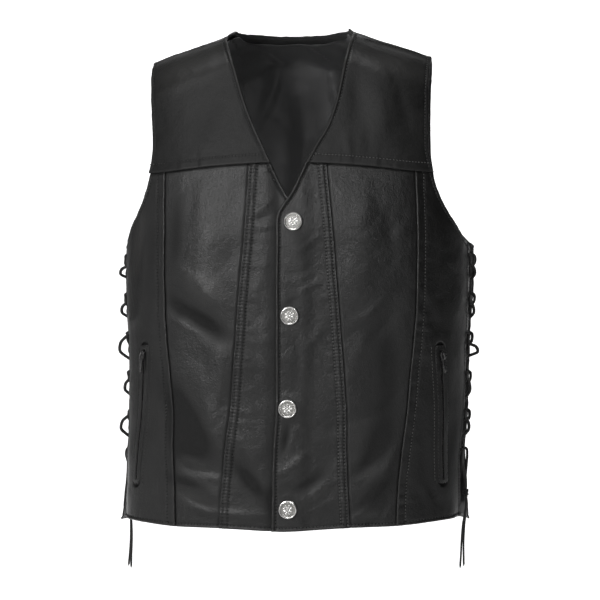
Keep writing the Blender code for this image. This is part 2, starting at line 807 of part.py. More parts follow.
def slit_points(side, share, shift, out):
    angle, below = slit_place(side, share[:, None], shift[None, :])
    return lifted(angle, below, np.broadcast_to(out, angle.shape))


def slot_cutter(side, finish):
    rows = np.linspace(SLOT_END, 1 - SLOT_END, WELT_ROWS)
    columns = np.array([-SLOT_HALF, SLOT_HALF])
    outer = slit_points(side, rows, columns, 2 * LEATHER)
    inner = slit_points(side, rows, columns, -3 * LEATHER)
    return sheet("slot_cutter_" + SIDE_NAMES[side], outer, inner, finish)


def pocket_welt(side, finish):
    rows = np.concatenate([[-WELT_END], np.linspace(0, 1, WELT_ROWS), [1 + WELT_END]])
    columns = np.array([-WELT_HALF, -WELT_WINDOW, WELT_WINDOW, WELT_HALF])
    keep = np.ones((len(rows) - 1, len(columns) - 1), bool)
    keep[1:-1, 1] = False
    inner = slit_points(side, rows, columns, SEAM_GAP)
    outer = slit_points(side, rows, columns, SEAM_GAP + WELT_WALL)
    return sheet("pocket_welt_" + SIDE_NAMES[side], outer, inner, finish, keep)


def pocket_zip(side, finish):
    # Tape behind the slit, with the chain standing up through it.
    chain = np.linspace(CHAIN_HEAD, 1 - CHAIN_HEAD, WELT_ROWS)
    rows = np.concatenate([[-ZIP_END, CHAIN_FOOT], chain, [1 - CHAIN_FOOT, 1 + ZIP_END]])
    step = ZIP_CHAIN_HALF + ZIP_CHAIN_STEP
    columns = np.array([-ZIP_TAPE_HALF, -step, -ZIP_CHAIN_HALF, ZIP_CHAIN_HALF, step, ZIP_TAPE_HALF])
    low = -LEATHER - ZIP_BEHIND
    out = np.full((len(rows), len(columns)), low)
    out[2:-2, 2:4] = ZIP_CHAIN_OUT
    outer = slit_points(side, rows, columns, out)
    inner = slit_points(side, rows, columns, low - ZIP_WALL)
    return sheet("pocket_zip_" + SIDE_NAMES[side], outer, inner, finish)


def slider_frame(side):
    # X along the pull tab's hinge, Y up the zip, Z out from the panel, at the welt's face.
    angle, below = slit_place(side, SLIDER_AT, 0.0)
    out = Vector(outward(angle, below))
    head = form(*slit_place(side, SLIDER_AT - SLIDER_SPAN, 0.0))
    foot = form(*slit_place(side, SLIDER_AT + SLIDER_SPAN, 0.0))
    up = Vector(head - foot)
    across = up.cross(out).normalized()
    up = out.cross(across).normalized()
    seat = Vector(form(angle, below)) + out * (2 * SEAM_GAP + WELT_WALL)
    frame = Matrix((across, up, out)).transposed().to_4x4()
    frame.translation = seat
    return frame


def block(name, size, middle, finish, frame):
    mesh = bmesh.new()
    bmesh.ops.create_cube(mesh, size=1.0)
    bmesh.ops.scale(mesh, vec=size, verts=mesh.verts)
    bmesh.ops.translate(mesh, vec=middle, verts=mesh.verts)
    thing = add_object(name, mesh, finish)
    thing.matrix_world = frame
    return thing


def zip_slider(side, finish):
    # A slider body with an arch along its top that holds the pull tab.
    name = "zip_slider_" + SIDE_NAMES[side]
    frame = slider_frame(side)
    arch_size = (*ARCH_SIZE[:2], ARCH_SIZE[2] + ARCH_SINK)
    arch_middle = (0, 0, SLIDER_SIZE[2] - ARCH_SINK / 2 + ARCH_SIZE[2] / 2)
    arch = block("arch_" + name, arch_size, arch_middle, finish, frame)
    gap_size = (2 * ARCH_SIZE[0], *ARCH_WINDOW)
    gap_middle = (0, 0, SLIDER_SIZE[2] + ARCH_WINDOW[1] / 2)
    cut(arch, block("arch_window_" + name, gap_size, gap_middle, finish, frame))
    body = block(name, SLIDER_SIZE, (0, 0, SLIDER_SIZE[2] / 2), finish, frame)
    cut(body, arch, "UNION")
    return body


def pull_tab(side, finish):
    # A plate whose top bar passes under the slider's arch; its origin is on the hinge line.
    name = "zip_pull_" + SIDE_NAMES[side]
    frame = slider_frame(side) @ Matrix.Translation((0, 0, SLIDER_SIZE[2] + ARCH_WINDOW[1] / 2))
    middle = (0, TAB_BAR / 2 - TAB_SIZE[1] / 2, 0)
    tab = block(name, TAB_SIZE, middle, finish, frame)
    window = (*TAB_WINDOW, 4 * TAB_SIZE[2])
    cut(tab, block("window_" + name, window, (0, -TAB_BAR / 2 - TAB_WINDOW[1] / 2, 0), finish, frame))
    return tab


def snap(number, place, finish):
    # A turned cap that sits on the over front.
    angle, drop = front_spot(place.across, place.drop)
    below = below_of(FRONT, angle, drop)
    out = Vector(outward(angle, below))
    seat = Vector(form(angle, below)) + out * (LEATHER + LAYER_GAP + SEAM_GAP)
    mesh = bmesh.new()
    rings = []
    for turned in SNAP_PROFILE:
        ring = []
        for i in range(SNAP_SIDES):
            turn = 2 * math.pi * i / SNAP_SIDES
            x = turned.radius * math.cos(turn)
            y = turned.radius * math.sin(turn)
            ring.append(mesh.verts.new((x, y, turned.height)))
        rings.append(ring)
    for low, high in zip(rings, rings[1:]):
        for i in range(SNAP_SIDES):
            j = (i + 1) % SNAP_SIDES
            mesh.faces.new((low[i], low[j], high[j], high[i]))
    mesh.faces.new(rings[0][::-1])
    mesh.faces.new(rings[-1])
    thing = add_object("snap_%d" % number, mesh, finish)
    thing.matrix_world = Matrix.Translation(seat) @ out.to_track_quat("Z", "Y").to_matrix().to_4x4()
    return thing


def smooth_route(points, step):
    # Even points on a smooth curve through a route.
    points = np.array([tuple(point) for point in points])
    times = np.concatenate([[0], np.cumsum(np.linalg.norm(np.diff(points, axis=0), axis=1) ** 0.5)])
    leans = np.gradient(points, times, axis=0)
    route = [points[0]]
    for i in range(len(points) - 1):
        span = times[i + 1] - times[i]
        cells = max(1, round(float(np.linalg.norm(points[i + 1] - points[i])) / step))
        for k in range(1, cells + 1):
            t = k / cells
            ends = points[i] * (1 + 2 * t) * (1 - t) ** 2 + points[i + 1] * t**2 * (3 - 2 * t)
            bend = leans[i] * t * (1 - t) ** 2 - leans[i + 1] * t**2 * (1 - t)
            route.append(ends + span * bend)
    return route


def tube(name, route, radius, resolution, finish):
    data = bpy.data.curves.new(name, "CURVE")
    data.dimensions = "3D"
    data.bevel_depth = radius
    data.bevel_resolution = resolution
    data.use_fill_caps = True
    spline = data.splines.new("POLY")
    spline.points.add(len(route) - 1)
    for point, place in zip(spline.points, route):
        point.co = (*place, 1.0)
    data.materials.append(finish)
    thing = bpy.data.objects.new(name, data)
    bpy.context.scene.collection.objects.link(thing)
    return thing


def hole_pass(face, side, row):
    # Up through a hole, from inside the vest to outside, turning back towards the edge.
    drop = hole_drop(row)
    inside = -LEATHER - LACE_CLEAR
    return [
        rim_point(face, side, drop - HOLE_RUN, HOLE_INSET - HOLE_SLANT, inside),
        rim_point(face, side, drop, HOLE_INSET, -LEATHER / 2),
        rim_point(face, side, drop + HOLE_RUN, HOLE_INSET - HOLE_SLANT, LACE_CLEAR),
    ]


def crossing(face, side, row, over):
    # From the outside of one edge, over the gap, to under the other edge.
    drop = hole_drop(row)
    under = -LEATHER - LACE_CLEAR
    out = CROSSING_OUT[side][row] if over else UNDER_CROSSING_OUT
    return [
        rim_point(face, side, drop + CROSS_LEAVES * LACE_PITCH, 0.0, LACE_CLEAR),
        side_middle(side, drop + CROSS_HALFWAY * LACE_PITCH, out),
        rim_point(-face, side, drop + CROSS_DIPS * LACE_PITCH, -DIP_OUTSET, under / 2 - DIP_DEPTH),
        rim_point(-face, side, drop + CROSS_LIES * LACE_PITCH, LIE_INSET, under - LIE_DEPTH),
    ]


def strand(face, side):
    # Half of a lace, from the top hole on one edge down to the knot.
    route = hole_pass(face, side, 0)
    for row in range(LACE_ROWS - 1):
        over = (row % 2 == 0) == (face == FRONT)
        here = face if row % 2 == 0 else -face
        route += crossing(here, side, row, over)
        route += hole_pass(-here, side, row + 1)
    last = LACE_ROWS - 1
    here = face if last % 2 == 0 else -face
    route.append(rim_point(here, side, hole_drop(last) + KNOT_LEAD[side], 0.0, LACE_CLEAR))
    apart = Vector((0, here * STRAND_APART, 0))
    level = KNOT_DROP - KNOT_RADII[2] - SEAM_GAP
    for lift in (KNOT_RUN, 0.0):
        route.append(side_middle(side, level - lift, KNOT_OUT[side]) + apart)
    return route


def side_lace(side, finish):
    # One lace, criss-crossed from the bar inside the top holes down to the knot.
    bar = side_middle(side, LACE_FIRST_DROP - BAR_RISE, -BAR_INSIDE)
    route = strand(FRONT, side)[::-1] + [bar] + strand(BACK, side)
    return tube("side_lace_" + SIDE_NAMES[side], smooth_route(route, LACE_STEP), LACE_RADIUS, 1, finish)


def lace_knot(side, finish):
    mesh = bmesh.new()
    bmesh.ops.create_icosphere(mesh, subdivisions=2, radius=1.0)
    bmesh.ops.scale(mesh, vec=KNOT_RADII, verts=mesh.verts)
    thing = add_object("lace_knot_" + SIDE_NAMES[side], mesh, finish)
    thing.location = side_middle(side, KNOT_DROP, KNOT_OUT[side])
    return thing


def lace_end(side, which, finish):
    start = side_middle(side, KNOT_DROP + KNOT_RADII[2] + SEAM_GAP, KNOT_OUT[side])
    foot = LACE_ENDS[which][-1].down
    route = []
    for end in LACE_ENDS[which]:
        out = end.out + END_DRIFT[side] * end.down / foot
        route.append(start + Vector((side * out, end.back, -end.down)))
    name = "lace_end_%s_%s" % (SIDE_NAMES[side], which)
    return tube(name, smooth_route(route, LACE_STEP), LACE_RADIUS, 2, finish)


def main():
    clear_scene()
    finish = {slot: make_material(slot) for slot in FINISHES}
    back = back_pieces(finish["black_leather"], finish["black_satin"])
    for side in (LEFT, RIGHT):
        front_yoke(side, finish["black_leather"])
        center_panel(side, finish["black_leather"])
        mid_panel(side, finish["black_leather"])
        panel = side_panel(side, finish["black_leather"])
        cut(panel, slot_cutter(side, finish["black_leather"]))
        for face, pierced in ((FRONT, panel), (BACK, back)):
            holes = lace_hole_cutter(face, side)
            cutter = add_object("hole_cutter_%s_%s" % (pierced.name, side), holes, finish["black_leather"])
            cut(pierced, cutter)
        pocket_welt(side, finish["black_leather"])
        pocket_zip(side, finish["zip_tape"])
        zip_slider(side, finish["dark_metal"])
        pull_tab(side, finish["dark_metal"])
        side_lace(side, finish["lace_leather"])
        lace_knot(side, finish["lace_leather"])
        for which in LACE_ENDS:
            lace_end(side, which, finish["lace_leather"])
    for number, place in enumerate(SNAPS, start=1):
        snap(number, place, finish["nickel"])


main()
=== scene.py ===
import math

import bmesh
import bpy
import numpy as np
from mathutils import Matrix, Vector
from mathutils.bvhtree import BVHTree


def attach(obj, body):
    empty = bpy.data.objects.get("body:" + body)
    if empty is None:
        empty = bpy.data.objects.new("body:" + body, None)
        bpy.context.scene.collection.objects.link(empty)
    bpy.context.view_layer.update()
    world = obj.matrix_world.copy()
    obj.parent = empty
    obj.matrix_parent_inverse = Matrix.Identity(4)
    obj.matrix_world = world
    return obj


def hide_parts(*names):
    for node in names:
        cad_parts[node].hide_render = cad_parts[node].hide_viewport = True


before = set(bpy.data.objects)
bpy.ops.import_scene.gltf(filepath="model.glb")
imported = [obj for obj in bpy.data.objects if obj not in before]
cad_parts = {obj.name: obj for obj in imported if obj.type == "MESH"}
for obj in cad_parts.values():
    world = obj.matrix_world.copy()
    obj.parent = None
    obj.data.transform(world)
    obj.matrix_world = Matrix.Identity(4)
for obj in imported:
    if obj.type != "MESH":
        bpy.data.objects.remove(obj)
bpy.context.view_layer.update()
print("frame loaded:", len(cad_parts), "nodes")

front, back = -1, 1
left, right = 1, -1  # the wearer's left is +X
sideWord = {left: "left", right: "right"}
sideTail = {left: "Left", right: "Right"}

# the filled-out form; drops are measured down from the neck ends of the shoulders
vest = {
    "leather": 0.0020,
    "seamGap": 0.0003,
    "layerGap": 0.0005,
    "squareness": {front: 2.6, back: 2.4},
    "shoulderTurn": {front: 0.055, back: 0.060},
    "spread": 0.8,
    "nudge": 0.0004,
    "ridgePasses": 4,
    "lap": 0.016,
    "lapBlend": 0.020,
    "neckPoint": 0.0836,
    "armpitDrop": 0.286,
    "backArmpitDrop": 0.280,
    "backHemDrop": 0.649,
    "neckCornerDrop": 0.238,
    "seamForward": (0.008, 0.002),
    "lacedEdge": {front: 0.010, back: 0.012},
}
sections = {
    "drop": [-0.040, 0.000, 0.100, 0.180, 0.280, 0.327, 0.410, 0.490, 0.560, 0.660],
    "frontHalf": [0.2120, 0.2150, 0.2220, 0.2285, 0.2285, 0.2290, 0.2265, 0.2234, 0.2224, 0.2235],
    "backHalf": [0.2120, 0.2150, 0.2220, 0.2290, 0.2335, 0.2345, 0.2305, 0.2284, 0.2285, 0.2350],
    "frontDepth": [0.080, 0.085, 0.105, 0.120, 0.130, 0.130, 0.128, 0.125, 0.124, 0.122],
    "backDepth": [0.100, 0.105, 0.120, 0.125, 0.125, 0.122, 0.115, 0.112, 0.116, 0.122],
    "lean": [-0.0098, -0.0095, -0.0072, -0.0045, -0.0025, -0.0030, -0.0030, -0.0035, -0.0075, -0.0095],
    "tilt": [0.0125, 0.0125, 0.0060, 0.0000, 0.0000, 0.0000, 0.0000, 0.0020, 0.0060, 0.0110],
}
ridge = {
    "across": [0.000, 0.035, 0.070, 0.084, 0.100, 0.125, 0.152, 0.186, 0.240],
    "drop": [-0.0310, -0.0240, -0.0100, -0.0032, 0.0026, 0.0110, 0.0196, 0.0318, 0.0520],
}
neckline = {
    "across": [0.000, 0.035, 0.055, 0.0745, 0.0836],
    "below": [0.0220, 0.0155, 0.0080, 0.0000, -0.00785],
}
neckEdge = {
    "drop": [0.0060, 0.0460, 0.0900, 0.1250, 0.1570, 0.1720, 0.2210, 0.2380],
    "right": [0.0836, 0.0690, 0.0565, 0.0440, 0.0300, 0.0235, 0.0000, -0.0160],
    "left": [0.0836, 0.0745, 0.0650, 0.0530, 0.0340, 0.0255, 0.0000, -0.0160],
}
armhole = {
    "drop": [0.036, 0.089, 0.150, 0.185, 0.215, 0.2415, 0.261, 0.277],
    "front": [0.1860, 0.1830, 0.1815, 0.1860, 0.1940, 0.2064, 0.2186, 0.2275],
    "back": [0.1860, 0.1800, 0.1780, 0.1810, 0.1890, 0.2020, 0.2160, 0.2322],
}
yokeSeam = {
    "across": [0.0200, 0.0710, 0.1165, 0.1560, 0.1880],
    "drop": [0.1764, 0.1790, 0.1824, 0.1866, 0.1882],
}
longSeams = {
    "drop": [0.178, 0.289, 0.354, 0.406, 0.458, 0.523, 0.603, 0.655],
    "double": [0.0510, 0.0600, 0.0656, 0.0694, 0.0732, 0.0778, 0.0830, 0.0860],
    "side": [0.1634, 0.1647, 0.1640, 0.1608, 0.1558, 0.1508, 0.1454, 0.1439],
}
hem = {
    "across": [0.000, 0.016, 0.080, 0.150, 0.200, 0.230],
    "drop": [0.6535, 0.6530, 0.6495, 0.6475, 0.6440, 0.6425],
}

# face, across, drop, half length, half width, turn from level, height, bow
largeFolds = [
    (front, -0.108, 0.296, 0.070, 0.024, 90, 0.0030),
    (front, -0.121, 0.373, 0.045, 0.013, -34, -0.0045),
    (front, -0.093, 0.434, 0.045, 0.018, 80, 0.0030),
    (front, -0.124, 0.515, 0.055, 0.016, -63, -0.0035),
    (front, -0.105, 0.600, 0.035, 0.013, -24, 0.0030),
    (front, 0.092, 0.290, 0.075, 0.024, 90, 0.0030),
    (front, 0.128, 0.431, 0.060, 0.022, 90, -0.0030),
    (front, 0.120, 0.597, 0.045, 0.013, 61, 0.0035),
    (front, 0.093, 0.096, 0.045, 0.013, 90, -0.0025),
    (front, 0.122, 0.102, 0.045, 0.013, 96, 0.0025),
    (back, -0.070, 0.470, 0.060, 0.022, 24, -0.0030),
    (back, 0.075, 0.455, 0.060, 0.022, -28, -0.0030),
    (back, 0.000, 0.560, 0.075, 0.026, 0, 0.0030),
]
smallCreases = [
    # broad swells of the wearer's right middle panel
    (front, -0.108, 0.338, 0.045, 0.0140, -34, 0.0028, 0.0),
    (front, -0.120, 0.362, 0.045, 0.0100, -32, 0.0012, 0.0),
    (front, -0.118, 0.384, 0.045, 0.0110, -31, -0.0026, 0.0),
    (front, -0.124, 0.515, 0.055, 0.0160, -63, 0.0030, 0.0),
    (front, -0.098, 0.510, 0.060, 0.0180, -66, 0.0028, 0.0),
    (front, -0.150, 0.515, 0.050, 0.0160, -66, -0.0028, 0.0),
    # wearer's right middle panel
    (front, -0.140, 0.345, 0.020, 0.0060, -20, -0.0010, 0.10),
    (front, -0.100, 0.352, 0.026, 0.0070, -30, 0.0012, -0.15),
    (front, -0.128, 0.390, 0.024, 0.0065, -28, 0.0014, 0.20),
    (front, -0.098, 0.395, 0.020, 0.0060, -48, -0.0010, 0.15),
    (front, -0.088, 0.470, 0.032, 0.0080, 72, 0.0010, 0.10),
    (front, -0.112, 0.545, 0.034, 0.0075, -55, 0.0010, -0.10),
    (front, -0.120, 0.575, 0.024, 0.0055, -18, -0.0016, 0.20),
    (front, -0.100, 0.583, 0.026, 0.0055, -12, 0.0016, -0.10),
    (front, -0.098, 0.628, 0.030, 0.0060, -14, 0.0013, 0.15),
    (front, -0.115, 0.616, 0.022, 0.0050, -20, -0.0012, 0.10),
    (front, -0.128, 0.235, 0.030, 0.0080, 78, -0.0009, 0.10),
    (front, -0.085, 0.232, 0.022, 0.0060, 62, 0.0008, 0.20),
    # wearer's right centre panel
    (front, -0.030, 0.232, 0.015, 0.0045, 38, 0.0012, 0.15),
    (front, -0.034, 0.248, 0.014, 0.0040, 20, -0.0011, 0.15),
    (front, -0.029, 0.260, 0.013, 0.0040, 8, 0.0009, 0.20),
    (front, -0.038, 0.330, 0.026, 0.0070, 70, 0.0008, 0.10),
    (front, -0.044, 0.410, 0.028, 0.0070, 104, -0.0008, 0.10),
    (front, -0.044, 0.588, 0.042, 0.0100, -52, -0.0028, 0.15),
    (front, -0.052, 0.548, 0.030, 0.0090, -58, 0.0014, 0.10),
    (front, -0.058, 0.632, 0.026, 0.0060, -8, 0.0012, 0.10),
    (front, -0.034, 0.620, 0.020, 0.0055, -35, -0.0010, 0.10),
    # wearer's left centre panel
    (front, 0.022, 0.285, 0.018, 0.0050, 30, 0.0008, 0.15),
    (front, 0.018, 0.318, 0.015, 0.0045, 18, -0.0008, 0.20),
    (front, 0.026, 0.338, 0.018, 0.0050, 34, 0.0009, -0.15),
    (front, 0.014, 0.430, 0.034, 0.0065, 90, -0.0013, 0.05),
    (front, 0.034, 0.405, 0.024, 0.0060, 58, 0.0009, 0.15),
    (front, -0.001, 0.534, 0.022, 0.0052, 82, -0.0015, 0.05),
    (front, 0.009, 0.530, 0.022, 0.0055, 74, 0.0007, 0.10),
    (front, 0.013, 0.566, 0.028, 0.0058, 38, 0.0010, 0.15),
    (front, 0.030, 0.590, 0.036, 0.0085, 32, -0.0022, 0.15),
    (front, 0.036, 0.609, 0.026, 0.0065, 36, 0.0010, 0.10),
    (front, 0.050, 0.622, 0.026, 0.0065, 30, 0.0010, 0.15),
    # wearer's left middle panel
    (front, 0.100, 0.232, 0.024, 0.0075, 75, 0.0008, 0.10),
    (front, 0.130, 0.262, 0.030, 0.0085, 100, -0.0009, 0.10),
    (front, 0.105, 0.372, 0.028, 0.0070, 38, 0.0012, 0.15),
    (front, 0.120, 0.392, 0.032, 0.0075, 46, -0.0012, 0.15),
    (front, 0.090, 0.420, 0.026, 0.0075, 60, 0.0009, -0.15),
    (front, 0.110, 0.500, 0.034, 0.0085, 30, -0.0011, 0.15),
    (front, 0.104, 0.568, 0.034, 0.0075, 50, -0.0014, 0.15),
    (front, 0.134, 0.565, 0.026, 0.0065, 66, 0.0011, 0.10),
    (front, 0.100, 0.630, 0.022, 0.0060, 44, 0.0012, 0.15),
    (front, 0.128, 0.625, 0.022, 0.0055, 58, -0.0011, 0.10),
    # side panels
    (front, -0.196, 0.300, 0.050, 0.0070, 90, 0.0014, 0.05),
    (front, -0.200, 0.368, 0.030, 0.0065, 55, 0.0013, 0.15),
    (front, -0.180, 0.345, 0.030, 0.0070, 62, -0.0010, 0.15),
    (front, -0.178, 0.470, 0.050, 0.0080, 88, -0.0009, 0.05),
    (front, -0.176, 0.610, 0.026, 0.0070, 70, 0.0010, 0.10),
    (front, 0.196, 0.300, 0.046, 0.0075, 92, 0.0011, 0.05),
    (front, 0.182, 0.372, 0.034, 0.0075, 112, -0.0010, 0.15),
    (front, 0.176, 0.540, 0.044, 0.0080, 95, -0.0009, 0.10),
    (front, 0.186, 0.612, 0.026, 0.0065, 118, 0.0010, 0.15),
    # yokes
    (front, -0.150, 0.075, 0.040, 0.0140, 34, 0.0012, 0.10),
    (front, -0.105, 0.120, 0.045, 0.0160, 58, -0.0009, 0.10),
    (front, 0.078, 0.150, 0.020, 0.0055, 102, 0.0013, 0.10),
    (front, 0.104, 0.140, 0.026, 0.0065, 95, -0.0011, 0.10),
    (front, 0.136, 0.090, 0.040, 0.0080, 100, 0.0013, 0.05),
    (front, 0.152, 0.105, 0.036, 0.0075, 104, -0.0011, 0.05),
    # back
    (back, -0.120, 0.150, 0.050, 0.0130, 68, -0.0014, 0.10),
    (back, 0.115, 0.160, 0.048, 0.0130, -70, -0.0014, 0.10),
    (back, -0.060, 0.240, 0.055, 0.0140, 30, 0.0012, 0.15),
    (back, 0.070, 0.255, 0.050, 0.0130, -34, 0.0012, -0.15),
    (back, 0.000, 0.330, 0.070, 0.0160, 5, -0.0013, 0.10),
    (back, -0.110, 0.380, 0.045, 0.0100, 36, 0.0014, 0.15),
    (back, 0.105, 0.400, 0.048, 0.0105, -30, 0.0014, 0.15),
    (back, -0.030, 0.430, 0.050, 0.0110, 14, -0.0012, 0.10),
    (back, 0.040, 0.500, 0.052, 0.0110, -10, 0.0013, -0.10),
    (back, -0.090, 0.520, 0.044, 0.0095, 22, -0.0013, 0.15),
    (back, 0.110, 0.540, 0.042, 0.0095, -26, -0.0012, 0.10),
    (back, -0.060, 0.600, 0.050, 0.0100, 8, 0.0012, 0.10),
    (back, 0.080, 0.605, 0.046, 0.0095, -12, -0.0012, 0.10),
    (back, -0.170, 0.450, 0.050, 0.0090, 80, 0.0011, 0.10),
    (back, 0.170, 0.470, 0.048, 0.0090, -78, 0.0011, 0.10),
]
# patches of painted shade below 0 and painted highlight above 0: face, across, drop, half length, half width,
# turn, strength
wear = [
    # wearer's right middle panel
    (front, -0.149, 0.277, 0.075, 0.0120, 88, -0.95),
    (front, -0.140, 0.206, 0.014, 0.0045, 75, 0.45),
    (front, -0.113, 0.312, 0.046, 0.0270, 86, 0.50),
    (front, -0.110, 0.338, 0.032, 0.0130, -30, 0.70),
    (front, -0.119, 0.376, 0.050, 0.0125, -30, -1.10),
    (front, -0.143, 0.387, 0.020, 0.0100, -25, 0.65),
    (front, -0.150, 0.400, 0.040, 0.0090, 78, -0.45),
    (front, -0.127, 0.512, 0.062, 0.0200, -57, -1.60),
    (front, -0.148, 0.540, 0.070, 0.0130, 90, -0.55),
    (front, -0.130, 0.540, 0.036, 0.0200, -48, -0.80),
    (front, -0.113, 0.571, 0.022, 0.0085, -25, 0.90),
    (front, -0.127, 0.591, 0.030, 0.0085, -16, -1.05),
    (front, -0.121, 0.611, 0.028, 0.0100, -20, 0.80),
    (front, -0.103, 0.634, 0.026, 0.0060, -14, -0.55),
    # centre panels
    (front, -0.046, 0.588, 0.042, 0.0115, -50, -0.90),
    (front, -0.062, 0.625, 0.024, 0.0080, -14, 0.40),
    (front, 0.018, 0.285, 0.034, 0.0110, 100, -0.60),
    (front, 0.004, 0.354, 0.016, 0.0055, 35, -0.80),
    (front, 0.017, 0.394, 0.014, 0.0090, 60, 0.35),
    (front, -0.001, 0.534, 0.022, 0.0055, 82, -0.90),
    (front, 0.012, 0.563, 0.024, 0.0050, 38, 0.40),
    (front, 0.032, 0.590, 0.036, 0.0080, 32, -0.80),
    (front, 0.038, 0.609, 0.024, 0.0060, 36, 0.40),
    # wearer's left middle panel
    (front, 0.128, 0.431, 0.055, 0.0200, 90, -1.00),
    (front, 0.118, 0.555, 0.080, 0.0260, 80, -1.20),
    (front, 0.111, 0.577, 0.036, 0.0080, 43, 1.00),
    (front, 0.113, 0.607, 0.032, 0.0060, 40, -0.60),
    (front, 0.114, 0.633, 0.018, 0.0050, 5, 0.80),
    # side panels
    (front, -0.206, 0.285, 0.048, 0.0075, 82, 1.40),
    (front, -0.184, 0.300, 0.080, 0.0110, 86, -0.75),
    (front, -0.198, 0.450, 0.060, 0.0160, 88, -0.60),
    (front, 0.222, 0.520, 0.110, 0.0140, 90, -0.60),
    (front, 0.209, 0.570, 0.070, 0.0110, 86, -0.80),
    (front, 0.176, 0.573, 0.050, 0.0150, 85, -0.60),
    # yokes
    (front, -0.132, 0.046, 0.060, 0.0240, 19, 1.10),
    (front, 0.142, 0.048, 0.050, 0.0160, -20, 0.90),
    (front, 0.082, 0.030, 0.030, 0.0120, 70, 0.50),
    (front, 0.130, 0.012, 0.080, 0.0080, -19, -1.50),
]
# uneven leather: size, height, seed, turn, stretch along it, and whether it is drawn into sharp lines
wrinkles = [
    (0.060, 0.0012, 3, 0, 1.0, False),
    (0.028, 0.0006, 5, 35, 1.5, False),
    (0.026, -0.00022, 6, 48, 2.4, True),
    (0.024, -0.00020, 7, -38, 2.2, True),
    (0.011, 0.00018, 9, 0, 1.0, False),
]


def alongTable(table, key, value, at):
    # a smooth curve through one column that never overshoots its rows
    xs = np.array(table[key])
    ys = np.array(table[value])
    at = np.clip(at, xs[0], xs[-1])
    gaps = np.diff(xs)
    slopes = np.diff(ys) / gaps
    bends = np.zeros_like(ys)
    bends[0] = slopes[0]
    bends[-1] = slopes[-1]
    for i in range(1, len(ys) - 1):
        if slopes[i - 1] * slopes[i] > 0:
            bends[i] = 2 * slopes[i - 1] * slopes[i] / (slopes[i - 1] + slopes[i])
    cell = np.clip(np.searchsorted(xs, at) - 1, 0, len(gaps) - 1)
    t = (at - xs[cell]) / gaps[cell]
    ends = ys[cell] * (1 + 2 * t) * (1 - t) ** 2 + ys[cell + 1] * t**2 * (3 - 2 * t)
    return ends + gaps[cell] * (bends[cell] * t * (1 - t) ** 2 - bends[cell + 1] * t**2 * (1 - t))


def ease(value):
    value = np.clip(value, 0.0, 1.0)
    return value * value * (3 - 2 * value)


def between(start, end, share):
    return start + (end - start) * share


def shareOf(angle):
    return np.sign(angle) * np.abs(np.sin(angle)) ** vest["spread"]


def angleOf(share):
    return np.sign(share) * np.arcsin(np.clip(np.abs(share), 0, 1) ** (1 / vest["spread"]))


def byFace(face, values):
    return np.where(face == front, values[front], values[back])


def halfWidth(face, drop):
    halves = {front: alongTable(sections, "drop", "frontHalf", drop)}
    halves[back] = alongTable(sections, "drop", "backHalf", drop)
    return byFace(face, halves)


def depthAt(face, drop):
    depths = {front: alongTable(sections, "drop", "frontDepth", drop)}
    depths[back] = alongTable(sections, "drop", "backDepth", drop)
    return byFace(face, depths)


def ridgeDrop(across):
    return alongTable(ridge, "across", "drop", np.abs(across))


def creaseHeight(face, across, drop, creases):
    total = np.zeros(np.broadcast(across, drop).shape)
    for creaseFace, spot, level, length, width, degrees, height, *bow in creases:
        turn = math.radians(degrees)
        side = across - spot
        up = level - drop
        along = (side * math.cos(turn) + up * math.sin(turn)) / length
        over = (up * math.cos(turn) - side * math.sin(turn)) / width
        for bend in bow:
            over = over - bend * length / width * along**2
        total = total + np.where(face == creaseFace, height, 0) * np.exp(-(along**2) - over**2)
    return total


def formPoint(angle, below):
    # below is the distance under the shoulder ridge: negative on the front, positive on the back
    angle, below = np.broadcast_arrays(np.asarray(angle, float), np.asarray(below, float))
    face = np.where(below < 0, front, back)
    share = shareOf(angle)
    drop = np.abs(below)
    for _ in range(vest["ridgePasses"]):
        across = share * halfWidth(face, drop)
        drop = np.abs(below) + ridgeDrop(across)
    squareness = byFace(face, vest["squareness"])
    chest = depthAt(face, drop) * np.clip(1 - np.abs(share) ** squareness, 0, 1) ** (1 / squareness)
    turn = np.clip(np.abs(below) / byFace(face, vest["shoulderTurn"]), 0, 1)
    rolled = np.sqrt(1 - (1 - turn) ** 2)
    fold = creaseHeight(face, across, drop, largeFolds) * rolled
    x = alongTable(sections, "drop", "lean", drop) + across + fold * np.sin(angle)
    y = face * (chest * rolled + fold * np.cos(angle))
    z = alongTable(sections, "drop", "tilt", drop) * across - drop
    return np.stack([x, y, z], axis=-1)


def outward(angle, below):
    step = vest["nudge"]
    sideways = formPoint(angle + step, below) - formPoint(angle - step, below)
    lengthways = formPoint(angle, below + step) - formPoint(angle, below - step)
    normal = np.cross(sideways, lengthways)
    return normal / np.linalg.norm(normal, axis=-1, keepdims=True)


def lifted(angle, below, out):
    return formPoint(angle, below) + outward(angle, below) * np.asarray(out)[..., None]


def belowOf(face, angle, drop):
    return face * (drop - ridgeDrop(shareOf(angle) * halfWidth(face, drop)))


def frontSpot(across, drop):
    across, drop = np.broadcast_arrays(np.asarray(across, float), np.asarray(drop, float))
    return np.stack([angleOf(across / halfWidth(front, drop)), drop], axis=-1)


def lacedAngle(face, drop, inset):
    edge = vest["lacedEdge"][face] + inset
    squareness = vest["squareness"][face]
    return angleOf((1 - (edge / depthAt(face, drop)) ** squareness) ** (1 / squareness))


def softNoise(points, size, seed):
    # smooth unevenness between -1 and 1
    many, shift = 32, 100
    lattice = np.random.default_rng(seed).uniform(-1, 1, (many, many, many))
    place = points / size + shift
    cell = np.floor(place).astype(int)
    t = place - cell
    t = t * t * t * (t * (6 * t - 15) + 10)
    total = 0
    for corner in np.ndindex(2, 2, 2):
        weight = np.prod([t[..., i] if corner[i] else 1 - t[..., i] for i in range(3)], axis=0)
        spot = (cell + corner) % many
        total = total + weight * lattice[spot[..., 0], spot[..., 1], spot[..., 2]]
    return total


